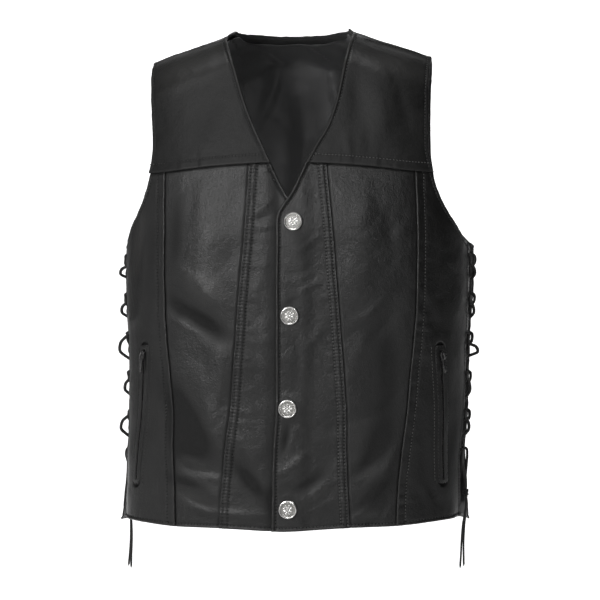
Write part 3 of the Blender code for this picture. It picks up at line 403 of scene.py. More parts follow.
# camera at the photograph's angle
view = {"target": (0.0, 0.0, -0.354), "distance": 3.2, "azimuth": 5.5, "lens": 143.07}


def placeCamera():
    data = bpy.data.cameras.new("photoCamera")
    data.lens = view["lens"]
    data.sensor_width = 36
    thing = bpy.data.objects.new("photoCamera", data)
    bpy.context.scene.collection.objects.link(thing)
    turn = math.radians(view["azimuth"])
    away = Vector((math.sin(turn), -math.cos(turn), 0)) * view["distance"]
    thing.location = Vector(view["target"]) + away
    thing.rotation_euler = (math.pi / 2, 0, turn)
    bpy.context.scene.camera = thing


placeCamera()
print("camera placed")


# one wrapped socket: sums on it add Math nodes
class Wire:
    def __init__(self, paint, socket):
        self.paint = paint
        self.socket = socket

    def sum(self, operation, first, second):
        return self.paint.node("ShaderNodeMath", {"operation": operation}, {0: first, 1: second})

    def __add__(self, other):
        return self.sum("ADD", self, other)

    def __radd__(self, other):
        return self.sum("ADD", other, self)

    def __sub__(self, other):
        return self.sum("SUBTRACT", self, other)

    def __rsub__(self, other):
        return self.sum("SUBTRACT", other, self)

    def __mul__(self, other):
        return self.sum("MULTIPLY", self, other)

    def __rmul__(self, other):
        return self.sum("MULTIPLY", other, self)

    def __truediv__(self, other):
        return self.sum("DIVIDE", self, other)


class Paint:
    def __init__(self, name, **sockets):
        self.material = bpy.data.materials.new(name)
        self.material.use_nodes = True
        self.tree = self.material.node_tree
        self.shader = self.tree.nodes["Principled BSDF"]
        self.set(**sockets)

    def set(self, **sockets):
        for name, value in sockets.items():
            self.feed(self.shader.inputs[name.replace("_", " ")], value)

    def feed(self, socket, value):
        if isinstance(value, Wire):
            self.tree.links.new(value.socket, socket)
        elif socket.type == "RGBA" and len(value) == 3:
            socket.default_value = (*value, 1.0)
        else:
            socket.default_value = value

    def node(self, kind, settings=None, inputs=None, output=0):
        made = self.tree.nodes.new(kind)
        for name, value in (settings or {}).items():
            if name == "stops":
                for stop, (position, shade) in zip(made.color_ramp.elements, value):
                    stop.position = position
                    stop.color = (shade, shade, shade, 1)
            else:
                setattr(made, name, value)
        for name, value in (inputs or {}).items():
            self.feed(made.inputs[name], value)
        return Wire(self, made.outputs[output])

    def place(self):
        return self.node("ShaderNodeTexCoord", output="Object")

    def noise(self, scale, detail=2.0, roughness=0.5):
        inputs = {"Vector": self.place(), "Scale": scale, "Detail": detail, "Roughness": roughness}
        return self.node("ShaderNodeTexNoise", None, inputs)

    def cells(self, scale):
        return self.node("ShaderNodeTexVoronoi", {"feature": "F1"}, {"Vector": self.place(), "Scale": scale})

    def wave(self, direction, scale):
        settings = {"bands_direction": direction}
        return self.node("ShaderNodeTexWave", settings, {"Vector": self.place(), "Scale": scale})

    def steps(self, value, low, high):
        return self.node("ShaderNodeValToRGB", {"stops": [(low, 0.0), (high, 1.0)]}, {"Fac": value})

    def mix(self, factor, first, second):
        inputs = {"Factor": factor, 6: first, 7: second}
        return self.node("ShaderNodeMix", {"data_type": "RGBA"}, inputs, output=2)

    def bump(self, height, distance):
        inputs = {"Height": height, "Distance": distance, "Strength": 1.0}
        self.set(Normal=self.node("ShaderNodeBump", None, inputs))


leatherLook = {
    "dark": (0.0042, 0.0042, 0.0042),
    "light": (0.0115, 0.0114, 0.0110),
    # colours of the shade painted in grooves and of the highlight painted on edges and swells
    "paintedShade": (0.0012, 0.0012, 0.0012),
    "rubbedAndHighlight": (0.0320, 0.0315, 0.0305),
    "roughness": (0.27, 0.18),
    "grainScale": 900,
    "grainDepth": 0.00040,
    "mottleScale": 210,
    "cloudScale": 26,
    "foldShadeAndHighlight": 110,
    "gloss": 0.54,
}


def leatherPaint(name, look):
    paint = Paint(name, Specular_IOR_Level=look["gloss"])
    cloud = paint.noise(look["cloudScale"], 4.0, 0.6)
    mottle = paint.noise(look["mottleScale"], 3.0, 0.6)
    pebble = paint.cells(look["grainScale"])
    pores = paint.noise(look["grainScale"] * 0.45, 3.0, 0.65)
    worn = paint.steps(cloud * 0.6 + mottle * 0.4, 0.35, 0.68)
    # the seam attribute is below 0 where shade is painted into stitch grooves, beside laps and in creases, and
    # above 0 where highlights are painted on edges and swells, partly rubbed wear
    seam = paint.node("ShaderNodeAttribute", {"attribute_name": "seam"}, output="Fac")
    paintedShade = paint.node("ShaderNodeClamp", None, {"Value": 0 - seam})
    rubbedAndHighlight = paint.node("ShaderNodeClamp", None, {"Value": seam})
    tone = paint.mix(worn, look["dark"], look["light"])
    # painted shade: colour drawn towards near black in grooves, beside laps and in creases
    tone = paint.mix(paintedShade * 0.85, tone, look["paintedShade"])
    # painted highlight on edges and swells, partly rubbed wear
    paint.set(Base_Color=paint.mix(rubbedAndHighlight * 0.6, tone, look["rubbedAndHighlight"]))
    low, reach = look["roughness"]
    even = low + (cloud * 0.4 + mottle * 0.6) * reach
    paint.set(Roughness=even + paintedShade * 0.45 - rubbedAndHighlight * 0.05)
    paint.bump(pebble * 0.45 + pores * 0.55 + mottle * 1.2 + cloud * 1.6, look["grainDepth"])
    return paint.material


def satinPaint():
    paint = Paint("liningSatin", Sheen_Weight=0.25, Sheen_Roughness=0.4)
    weave = paint.wave("Z", 420)
    cloud = paint.noise(14, 3.0)
    paint.set(Base_Color=paint.mix(cloud, (0.022, 0.022, 0.0225), (0.042, 0.042, 0.043)))
    paint.set(Roughness=0.36 + cloud * 0.12)
    paint.bump(weave, 0.00003)
    return paint.material


def threadPaint(name, dark, light):
    paint = Paint(name, Sheen_Weight=0.15)
    twist = paint.wave("DIAGONAL", 900)
    tone = paint.noise(300, 2.0)
    paint.set(Base_Color=paint.mix(tone, (dark, dark, 0.97 * dark), (light, light, 0.96 * light)))
    paint.set(Roughness=0.40 + tone * 0.15)
    paint.bump(twist, 0.00008)
    return paint.material


def holeShadePaint():
    # near black: shade painted inside the needle holes
    paint = Paint("needleHoleShade")
    tone = paint.noise(700, 2.0)
    paint.set(Base_Color=paint.mix(tone, (0.0010, 0.0010, 0.0010), (0.0030, 0.0030, 0.0030)))
    paint.set(Roughness=0.85 + tone * 0.1)
    return paint.material


def tapePaint():
    paint = Paint("zipTape", Sheen_Weight=0.1)
    weave = paint.wave("Z", 600)
    tone = paint.noise(500, 2.0)
    paint.set(Base_Color=paint.mix(tone, (0.006, 0.006, 0.006), (0.014, 0.014, 0.014)))
    paint.set(Roughness=0.7 + tone * 0.1)
    paint.bump(weave, 0.0001)
    return paint.material


def darkMetalPaint():
    paint = Paint("darkZipMetal", Metallic=1.0)
    wear = paint.steps(paint.noise(420, 4.0, 0.65), 0.45, 0.7)
    paint.set(Base_Color=paint.mix(wear, (0.085, 0.085, 0.087), (0.26, 0.255, 0.25)))
    paint.set(Roughness=0.30 + paint.noise(900, 2.0) * 0.15)
    paint.bump(paint.noise(1500, 2.0), 0.00004)
    return paint.material


def nickelPaint():
    # the relief attribute is 1 on raised metal and 0 in the worn, dark hollows
    paint = Paint("wornNickel", Metallic=1.0)
    relief = paint.node("ShaderNodeAttribute", {"attribute_name": "relief"}, output="Fac")
    wear = paint.noise(520, 4.0, 0.65)
    bright = paint.steps(relief + wear * 0.55 - 0.27, 0.15, 0.75)
    paint.set(Base_Color=paint.mix(bright, (0.30, 0.295, 0.28), (0.86, 0.85, 0.83)))
    paint.set(Roughness=0.42 - bright * 0.16)
    paint.bump(paint.noise(900, 3.0, 0.6), 0.00010)
    return paint.material


laceLook = dict(
    leatherLook, dark=(0.0050, 0.0048, 0.0046), light=(0.0140, 0.0135, 0.0130), roughness=(0.48, 0.2),
    grainScale=1100, grainDepth=0.00025, mottleScale=420, cloudScale=60,
)
yokeLook = dict(
    leatherLook, dark=(0.0052, 0.0052, 0.0052), light=(0.0115, 0.0114, 0.0111), roughness=(0.42, 0.14),
    grainDepth=0.00026, gloss=0.32,
)

leather = leatherPaint("blackLeather", leatherLook)
yokeLeather = leatherPaint("yokeLeather", yokeLook)
laceLeather = leatherPaint("laceLeather", laceLook)
satin = satinPaint()
# two copies of one black thread: a lighter one standing in for highlights, a darker one for shade
threadPaintedLit = threadPaint("threadPaintedLit", 0.045, 0.100)
threadPaintedShaded = threadPaint("threadPaintedShaded", 0.010, 0.026)
needleHoleShade = holeShadePaint()
tape = tapePaint()
darkMetal = darkMetalPaint()
nickel = nickelPaint()
print("materials made")


def addMesh(name, points, faces, materials, faceMaterials=None):
    data = bpy.data.meshes.new(name)
    data.from_pydata([tuple(point) for point in points], [], faces)
    for material in materials:
        data.materials.append(material)
    if faceMaterials is not None:
        data.polygons.foreach_set("material_index", np.asarray(faceMaterials, np.int32))
    data.shade_smooth()
    data.update()
    thing = bpy.data.objects.new(name, data)
    bpy.context.scene.collection.objects.link(thing)
    return thing


def onVest(piece, slot, *nodes, body="vest"):
    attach(piece, body)
    if nodes:
        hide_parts(*nodes)
    return piece


def gridFaces(rows, columns, wrap=False):
    # index of each cell's four corners, counter-clockwise seen with rows up and columns to the right
    index = np.arange(rows * columns).reshape(rows, columns)
    if wrap:
        index = np.concatenate([index, index[:, :1]], axis=1)
    cells = np.stack([index[:-1, :-1], index[:-1, 1:], index[1:, 1:], index[1:, :-1]], axis=-1)
    return cells


def closedSheet(name, outer, inner, materials, keep=None, wrap=False, flip=False, seam=None):
    # a thin wall between two grids, closed round its rim and round the cells that are left out
    rows, columns = outer.shape[:2]
    cells = gridFaces(rows, columns, wrap)
    if keep is None:
        keep = np.ones(cells.shape[:2], bool)
    count = rows * columns
    faces = []
    paints = []
    for layer in (0, 1):
        chosen = cells[keep] + layer * count
        if (layer == 1) != flip:
            chosen = chosen[:, ::-1]
        faces.extend(map(tuple, chosen))
        paints.extend([layer] * len(chosen))
    tall, wide = keep.shape
    for r, c in zip(*np.nonzero(keep)):
        if 0 < r < tall - 1 and 0 < c < wide - 1 and keep[r - 1 : r + 2, c - 1 : c + 2].all():
            continue
        ring = cells[r, c]
        for i, (dr, dc) in enumerate(((-1, 0), (0, 1), (1, 0), (0, -1))):
            nr = r + dr
            nc = (c + dc) % wide if wrap else c + dc
            if 0 <= nr < tall and 0 <= nc < wide and keep[nr, nc]:
                continue
            a, b = ring[i], ring[(i + 1) % 4]
            wall = (b, a, a + count, b + count)
            faces.append(wall[::-1] if flip else wall)
            paints.append(0)
    points = np.concatenate([outer.reshape(-1, 3), inner.reshape(-1, 3)])
    # the seam attribute carries painted shade below 0 and painted highlight above 0 on the outer face
    marks = np.zeros(len(points)) if seam is None else np.concatenate([seam.ravel(), np.zeros(count)])
    used = np.zeros(len(points), bool)
    used[np.unique(np.concatenate([np.ravel(face) for face in faces]))] = True
    if not used.all():
        renumber = np.cumsum(used) - 1
        faces = [tuple(renumber[list(face)]) for face in faces]
        points = points[used]
        marks = marks[used]
    piece = addMesh(name, points, [tuple(int(i) for i in face) for face in faces], materials, paints)
    layer = piece.data.attributes.new("seam", "FLOAT", "POINT")
    layer.data.foreach_set("value", marks.astype(np.float32))
    return piece


# leather lace through the side holes, its knots and free ends
lacing = {
    "holeInset": 0.008,
    "holeRadius": 0.0029,
    "holeSlant": 0.0009,
    "holeRun": 0.0015,
    "clear": 0.0026,
    "rows": 6,
    "firstDrop": 0.293,
    "pitch": 0.052,
    "step": 0.010,
    "fineStep": 0.0012,
    "section": (0.0021, 0.0018),
    "endSection": (0.0016, 0.0014),
    "square": 0.75,  # between an oval and a rectangle
    "sides": 10,
    "tip": 0.35,
    "tipRings": 3,
    "knotDrop": 0.612,
    "knotRadii": (0.0045, 0.0055, 0.0060),
    "knotOut": {left: 0.0040, right: -0.0065},
    "knotLead": {left: 0.018, right: 0.008},
    "endDrift": {left: -0.0020, right: 0.0050},
    "knotRun": 0.014,
    "knotSides": 8,
    # two turns of lace round the hanging ends: turns, rings, half sizes, and how uneven they are
    "coil": {"turns": 2.2, "rings": 56, "half": (0.0027, 0.0036, 0.0030), "wobble": 0.12, "wobbleRate": 0.73},
    "coilSection": (0.0015, 0.0012),
    # the strands inside it: towards the back, up
    "core": [(0.0010, 0.0058), (-0.0008, 0.0020), (0.0009, -0.0020), (-0.0010, -0.0058)],
    "coreSection": (0.0022, 0.0017),
    "coreStep": 0.001,
    "holePull": (0.002, 0.008),
    "strandApart": 0.0022,
    "barRise": 0.003,
    "barInside": 0.009,
    "leaves": 0.20,
    "swellFrom": 0.34,
    "swell": 0.85,
    "halfway": 0.50,
    "turn": 0.004,
    "dips": 0.68,
    "deepest": 0.75,
    "lies": 0.82,
    "underOut": 0.0005,
    "dipOutset": 0.004,
    "dipDepth": 0.0012,
    "lieInset": 0.0015,
    "lieDepth": 0.0006,
    "crossingOut": {
        left: (0.0055, 0.0055, 0.0130, 0.0050, 0.0060),
        right: (0.0090, 0.0085, 0.0135, 0.0080, 0.0120),
    },
    "crossingSpan": {
        left: (0.9, 1.0, 0.8, 1.2, 1.1),
        right: (0.7, 0.9, 1.4, 1.0, 1.25),
    },
    # free ends below the knot: down, towards the back, out from the side
    "ends": {
        "front": [
            (0.0000, -0.0022, 0.0000), (0.0140, -0.0030, 0.0000), (0.0340, -0.0034, -0.0030),
            (0.0560, -0.0026, -0.0045), (0.0760, -0.0030, -0.0050), (0.0950, -0.0040, -0.0058),
        ],
        "back": [
            (0.0000, 0.0022, 0.0000), (0.0150, 0.0032, 0.0002), (0.0360, 0.0028, -0.0012),
            (0.0580, 0.0036, -0.0020), (0.0770, 0.0044, -0.0016), (0.0930, 0.0040, -0.0010),
        ],
    },
    "endDiameter": 0.003,
    "endLength": 0.0955,
}


def rimPoint(face, side, drop, inset, out):
    held = max(inset, 0.0)
    angle = side * lacedAngle(face, drop, held)
    point = lifted(angle, belowOf(face, angle, drop), out)
    return Vector(point) + Vector((0, face * (inset - held), 0))


def sideMiddle(side, drop, out):
    middle = (rimPoint(front, side, drop, 0.0, 0.0) + rimPoint(back, side, drop, 0.0, 0.0)) / 2
    return Vector((middle.x + side * out, 0.0, middle.z))


def holeDrop(row):
    return lacing["firstDrop"] + lacing["pitch"] * row


def holePass(face, side, row):
    drop = holeDrop(row)
    slanted = lacing["holeInset"] - lacing["holeSlant"]
    run = lacing["holeRun"]
    return [
        rimPoint(face, side, drop - run, slanted, -vest["leather"] - lacing["clear"]),
        rimPoint(face, side, drop, lacing["holeInset"], -vest["leather"] / 2),
        rimPoint(face, side, drop + run, slanted, lacing["clear"]),
    ]


def crossing(face, side, row, over):
    drop = holeDrop(row)
    pitch = lacing["pitch"]
    under = -vest["leather"] - lacing["clear"]
    out = lacing["crossingOut"][side][row] if over else lacing["underOut"]
    span = lacing["crossingSpan"][side][row] if over else 1.0
    dip = under / 2 - lacing["dipDepth"]
    turn = Vector((0, face * lacing["turn"], 0))

    def level(share):
        return drop + pitch * (lacing["halfway"] + (share - lacing["halfway"]) * span)

    lowest = min(level(lacing["dips"]), drop + lacing["deepest"] * pitch)
    return [
        rimPoint(face, side, level(lacing["leaves"]), 0.0, lacing["clear"]),
        sideMiddle(side, level(lacing["swellFrom"]), lacing["swell"] * out) + turn,
        sideMiddle(side, level(lacing["halfway"]), out),
        rimPoint(-face, side, lowest, -lacing["dipOutset"], dip),
        rimPoint(-face, side, drop + lacing["lies"] * pitch, lacing["lieInset"], under - lacing["lieDepth"]),
    ]


def strand(face, side):
    route = holePass(face, side, 0)
    last = lacing["rows"] - 1
    for row in range(last):
        here = face if row % 2 == 0 else -face
        route += crossing(here, side, row, here == front)
        route += holePass(-here, side, row + 1)
    here = face if last % 2 == 0 else -face
    route.append(rimPoint(here, side, holeDrop(last) + lacing["knotLead"][side], 0.0, lacing["clear"]))
    apart = Vector((0, here * lacing["strandApart"], 0))
    level = lacing["knotDrop"] - lacing["knotRadii"][2] - vest["seamGap"]
    for lift in (lacing["knotRun"], 0.0):
        route.append(sideMiddle(side, level - lift, lacing["knotOut"][side]) + apart)
    return route


def smoothRoute(points, step):
    points = np.array([tuple(point) for point in points])
    times = np.concatenate([[0], np.cumsum(np.linalg.norm(np.diff(points, axis=0), axis=1) ** 0.5)])
    leans = np.gradient(points, times, axis=0)
    route = [points[0]]
    for i in range(len(points) - 1):
        span = times[i + 1] - times[i]
        cells = max(1, round(float(np.linalg.norm(points[i + 1] - points[i])) / step))
        for k in range(1, cells + 1):
            t = k / cells
            ends = points[i] * (1 + 2 * t) * (1 - t) ** 2 + points[i + 1] * t**2 * (3 - 2 * t)
            bend = leans[i] * t * (1 - t) ** 2 - leans[i + 1] * t**2 * (1 - t)
            route.append(ends + span * bend)
    return np.array(route)


def laceTube(name, route, section, sides, facing, taper=0):
    # a flattened leather lace along a route; facing is the way its broad side looks at the start
    route = np.asarray(route)
    ways = np.gradient(route, axis=0)
    ways /= np.linalg.norm(ways, axis=1, keepdims=True)
    flat = np.array(facing, float)
    rings = []
    for i, (point, way) in enumerate(zip(route, ways)):
        flat = flat - way * (flat @ way)
        flat /= np.linalg.norm(flat)
        wide = np.cross(way, flat)
        turns = np.linspace(0, 2 * math.pi, sides, endpoint=False)
        cosines, sines = np.cos(turns), np.sin(turns)
        ringWide = section[0] * np.sign(cosines) * np.abs(cosines) ** lacing["square"]
        ringFlat = section[1] * np.sign(sines) * np.abs(sines) ** lacing["square"]
        shrink = 1.0
        if taper:
            shrink = between(lacing["tip"], 1.0, min(1.0, (len(route) - 1 - i) / taper))
        rings.append(point + shrink * (ringWide[:, None] * wide + ringFlat[:, None] * flat))
    points = np.concatenate(rings)
    faces = [tuple(cell) for cell in gridFaces(len(route), sides, wrap=True).reshape(-1, 4).tolist()]
    faces.append(tuple(range(sides))[::-1])
    faces.append(tuple(range(len(points) - sides, len(points))))
    return addMesh(name, points, faces, [laceLeather])


def joinInto(target, *others):
    bpy.ops.object.select_all(action="DESELECT")
    for thing in (target, *others):
        thing.select_set(True)
    bpy.context.view_layer.objects.active = target
    bpy.ops.object.join()


def makeLacing(side):
    tail = sideTail[side]
    word = sideWord[side]
    bar = sideMiddle(side, lacing["firstDrop"] - lacing["barRise"], -lacing["barInside"])
    route = smoothRoute(strand(front, side)[::-1] + [bar] + strand(back, side), lacing["step"])
    fine = smoothRoute(route, lacing["fineStep"])
    lace = laceTube("sideLace" + tail, fine, lacing["section"], lacing["sides"], (side, 0, 0))
    onVest(lace, "lace_leather", "side_lace_" + word)

    middle = sideMiddle(side, lacing["knotDrop"], lacing["knotOut"][side])
    coil = lacing["coil"]
    deep, wide, tall = coil["half"]
    turns = np.linspace(0, 2 * math.pi * coil["turns"], coil["rings"])
    rise = np.linspace(tall, -tall, coil["rings"])
    wobble = 1 + coil["wobble"] * np.sin(turns * coil["wobbleRate"])
    rounds = np.stack([deep * np.cos(turns) * wobble, wide * np.sin(turns) * wobble, rise], axis=-1)
    core = smoothRoute([middle + Vector((0, rear, up)) for rear, up in lacing["core"]], lacing["coreStep"])
    facing = (side, 0, 0)
    sides = lacing["knotSides"]
    wrap = laceTube("laceKnot" + tail, rounds + np.array(middle), lacing["coilSection"], sides, facing)
    plug = laceTube("knotCore" + tail, core, lacing["coreSection"], sides, facing)
    joinInto(wrap, plug)
    onVest(wrap, "lace_leather", "lace_knot_" + word)

    under = lacing["knotDrop"] + lacing["knotRadii"][2] + vest["seamGap"]
    start = sideMiddle(side, under, lacing["knotOut"][side])
    for which, ends in lacing["ends"].items():
        drift = lacing["endDrift"][side] / ends[-1][0]
        points = [start + Vector((side * (out + drift * down), rear, -down)) for down, rear, out in ends]
        path = smoothRoute(smoothRoute(points, lacing["step"]), lacing["fineStep"])
        name = "laceEnd" + tail + which.capitalize()
        end = laceTube(name, path, lacing["endSection"], lacing["sides"], facing, lacing["tipRings"])
        onVest(end, "lace_leather", "lace_end_%s_%s" % (word, which))


for side in (left, right):
    makeLacing(side)
print("laces made")


# edge styles: what a sewn edge does to the leather beside it
# the marks of each style are painted: shade along its stitch rows, a highlight on its edge (partly rubbed wear)
# and a shadow beside a lap
edgeStyles = {
    # free turned edge: a narrow roll, then the stitch row pressed in
    "turned": {
        "roll": 0.0014, "puff": 0.0013, "puffAt": 0.0020, "puffWide": 0.0019,
        "stitch": [0.0054], "press": 2.0, "dark": 0.8, "rubbedAndHighlight": 0.9, "shadedStitches": True,
    },
    "collar": {
        "roll": 0.0013, "puff": 0.0012, "puffAt": 0.0020, "puffWide": 0.0019,
        "stitch": [0.0054], "dark": 0.3, "rubbedAndHighlight": 1.0, "shadedStitches": True,
    },
    "hem": {
        "roll": 0.0012, "puff": 0.0011, "puffAt": 0.0018, "puffWide": 0.0016,
        "stitch": [0.0044], "dark": 0.6, "rubbedAndHighlight": 0.9, "shadedStitches": True,
    },
    "arm": {
        "roll": 0.0011, "puff": 0.0004, "puffAt": 0.0022, "puffWide": 0.0020,
        "stitch": [0.0050], "dark": 0.3, "shadedStitches": True,
    },
    # folded edge that lies over its neighbour
    "lapOver": {
        "roll": 0.0011, "step": 0.0011, "fade": 0.020, "puff": 0.0004, "puffAt": 0.0018, "puffWide": 0.0018,
        "stitch": [0.0118], "dark": 0.35, "rubbedAndHighlight": 0.6,
    },
    "sideOver": {
        "roll": 0.0011, "step": 0.0011, "fade": 0.014, "puff": 0.0006, "puffAt": 0.0016, "puffWide": 0.0016,
        "stitch": [0.0120], "dark": 0.5, "rubbedAndHighlight": 0.9,
    },
    "shoulder": {"roll": 0.0008, "step": 0.0008, "fade": 0.010, "stitch": [0.0040], "dark": 0.3, "shadedStitches": True},
    # edge that goes under
    "under": {"roll": 0.0006, "tuck": 0.008, "sink": 0.0012, "sinkEase": 0.002, "shadow": 0.6},
    # felled seam with a puffed band between two rows
    "double": {
        "roll": 0.0009, "step": 0.0006, "fade": 0.018, "puff": 0.0007, "puffAt": 0.0074, "puffWide": 0.0032,
        "stitch": [0.0034, 0.0116], "press": 1.1, "dark": 0.75, "rubbedAndHighlight": 0.3, "ripple": 0.00055,
    },
    "doubleUnder": {"roll": 0.0006, "tuck": 0.008, "sink": 0.0013, "sinkEase": 0.002, "shadow": 0.5},
    "laced": {
        "roll": 0.0011, "band": 0.0010, "bandWide": 0.0150, "bandEase": 0.002,
        "stitch": [0.0035, 0.0140], "dark": 0.6, "rubbedAndHighlight": 0.4, "shadedStitches": True,
    },
}
sewing = {
    "trough": 0.00055,
    "troughWide": 0.0011,
    "lump": 0.00028,
    "dotted": 0.95,
    "rippleShadeAndHighlight": 700,
    "markWide": 0.0014,
    "rubbedAndHighlightAt": 0.0016,
    "rubbedAndHighlightWide": 0.0013,
    "shadowFrom": 0.0005,
    "shadowWide": 0.0030,
    "lumpWide": 0.0018,
    "pucker": 0.0005,
    "puckerSize": 0.0070,
    "broadPucker": 2.7,
    "broadShare": 0.6,
    "puckerReach": 1.3,
    "stitchLength": 0.0033,
    "stitchGap": 0.0011,
    "threadRadius": 0.00050,
    "spindle": [(0.15, 0.35), (0.5, 0.8), (0.85, 0.35)],  # share along a stitch, and how far out
    "spindleFlat": 0.8,
    "holeRadius": 0.0010,
    "holeRise": 0.00012,
    "holeSides": 8,
    "rimMarks": [0.0, 0.0004, 0.0010],
    "bandFrom": 0.0020,
    "fineCell": 0.00125,
    "cell": 0.0026,
    "seamCell": 0.0013,
    "backCell": 0.0040,
    "inwardCells": 6,
    "shortest": 0.18,
}


def styleReach(style):
    look = edgeStyles[style]
    return (look["stitch"][-1] if "stitch" in look else look["tuck"]) + 3 * sewing["fineCell"]


def edgeMarks(length, first, last, cell):
    # shares of a stretch: fine steps inside the sewn band at each end, even cells between
    def band(style):
        reach = styleReach(style)
        return np.concatenate([sewing["rimMarks"], np.arange(sewing["bandFrom"], reach, sewing["fineCell"])])

    low = band(first)
    high = length - band(last)[::-1]
    cells = max(2, round((high[0] - low[-1]) / cell))
    middle = np.linspace(low[-1], high[0], cells + 1)[1:-1]
    return np.concatenate([low, middle, high]) / length


def withMark(marks, share):
    marks = marks.copy()
    marks[np.argmin(np.abs(marks - share))] = share
    return marks


def patch(bottom, top, start, end, across, up):
    u = across[None, :, None]
    v = up[:, None, None]
    low = bottom(across)[None]
    high = top(across)[None]
    first = start(up)[:, None]
    last = end(up)[:, None]
    rows = (1 - v) * low + v * high
    columns = (1 - u) * first + u * last
    corners = (1 - v) * ((1 - u) * low[:, :1] + u * low[:, -1:])
    corners = corners + v * ((1 - u) * high[:, :1] + u * high[:, -1:])
    return rows + columns - corners


def nearLine(points, line):
    # distance to a line of points, and how far along it the nearest place is
    flat = points.reshape(-1, 3)
    starts, ways = line[:-1], np.diff(line, axis=0)
    lengths = np.linalg.norm(ways, axis=1)
    along = np.concatenate([[0], np.cumsum(lengths)])
    distance = np.empty(len(flat))
    place = np.empty(len(flat))
    chunk = 4000
    for first in range(0, len(flat), chunk):
        some = flat[first : first + chunk]
        gaps = ((some[:, None] - line[None]) ** 2).sum(-1)
        nearest = gaps.argmin(1)
        best = np.full(len(some), np.inf)
        where = np.zeros(len(some))
        for shift in (-1, 0):
            k = np.clip(nearest + shift, 0, len(ways) - 1)
            t = ((some - starts[k]) * ways[k]).sum(1) / lengths[k] ** 2
            t = np.clip(t, 0, 1)
            d = np.linalg.norm(some - starts[k] - t[:, None] * ways[k], axis=1)
            better = d < best
            best = np.where(better, d, best)
            where = np.where(better, along[k] + t * lengths[k], where)
        distance[first : first + chunk] = best
        place[first : first + chunk] = where
    return distance.reshape(points.shape[:-1]), place.reshape(points.shape[:-1])


def hump(distance, at, wide):
    return np.exp(-(((distance - at) / wide) ** 2))


def edgeLift(style, distance, place, seed):
    # how far the outer face stands out beside an edge, how round it is there, and the shade and highlight
    # painted beside it
    look = edgeStyles[style]
    lift = np.zeros_like(distance)
    # painted highlight along the rolled edge, partly rubbed wear
    mark = look.get("rubbedAndHighlight", 0.0) * hump(distance, sewing["rubbedAndHighlightAt"], sewing["rubbedAndHighlightWide"])
    if "puff" in look:
        lift += look["puff"] * hump(distance, look["puffAt"], look["puffWide"])
    if "step" in look:
        lift += look["step"] * (1 - ease(distance / look["fade"]))
    if "band" in look:
        lift += look["band"] * (1 - ease((distance - look["bandWide"]) / look["bandEase"]))
    if "tuck" in look:
        past = distance - look["tuck"]
        lift -= look["sink"] * (1 - ease(past / look["sinkEase"]))
        # painted shadow on the leather beside a lap
        mark -= look["shadow"] * (1 - ease((past - sewing["shadowFrom"]) / sewing["shadowWide"]))
    if "stitch" in look:
        pitch = sewing["stitchLength"] + sewing["stitchGap"]
        beat = np.cos(2 * math.pi * (place + sewing["stitchGap"] / 2) / pitch - math.pi)  # 1 at needle holes
        for offset in look["stitch"]:
            lift -= look.get("press", 1.0) * sewing["trough"] * hump(distance, offset, sewing["troughWide"])
            lift -= sewing["lump"] * beat * hump(distance, offset, sewing["lumpWide"])
            # painted shade along the stitch row, darkest at the needle holes
            dark = look["dark"] * (1 + sewing["dotted"] * beat)
            mark -= dark * hump(distance, offset, sewing["markWide"])
        if "ripple" in look:
            # small lumps where the leather is drawn in between two rows, with shade painted where they sink and
            # highlight where they rise
            lumps = look["ripple"] * beat * hump(distance, look["puffAt"], look["puffWide"])
            lift -= lumps
            mark -= lumps * sewing["rippleShadeAndHighlight"]
        line = np.stack([place, place * 0, place * 0 + seed], axis=-1)
        size = sewing["puckerSize"]
        wave = softNoise(line, size, seed)
        wave = wave + sewing["broadShare"] * softNoise(line, sewing["broadPucker"] * size, seed + 1)
        lift += sewing["pucker"] * wave * hump(distance, 0.0, sewing["puckerReach"] * styleReach(style))
    inside = np.clip(distance / look["roll"], 0, 1)
    rounded = np.sqrt(np.clip(1 - (1 - inside) ** 2, 0, 1))
    return lift, np.maximum(rounded, sewing["shortest"]), mark


def edgeOf(base, which, span=slice(None)):
    # a boundary of the grid as a line of points, with the way into the piece at each
    grids = {"left": base, "right": base[:, ::-1]}
    grids["bottom"] = base.swapaxes(0, 1)
    grids["top"] = base[::-1].swapaxes(0, 1)
    grid = grids[which][span]
    line = grid[:, 0]
    inward = grid[:, min(sewing["inwardCells"], grid.shape[1] - 1)] - line
    ways = np.gradient(line, axis=0)
    ways /= np.linalg.norm(ways, axis=1, keepdims=True)
    inward = inward - ways * (inward * ways).sum(1, keepdims=True)
    inward /= np.linalg.norm(inward, axis=1, keepdims=True)
    return line, inward


def joinedEdge(base, parts):
    # one line along edges that follow on from each other
    found = [edgeOf(base, which, span) for which, span in parts]
    lines = [found[0][0]] + [line[1:] for line, inward in found[1:]]
    inwards = [found[0][1]] + [inward[1:] for line, inward in found[1:]]
    return np.concatenate(lines), np.concatenate(inwards)


whole = slice(None)
threads = {}
holes = {}


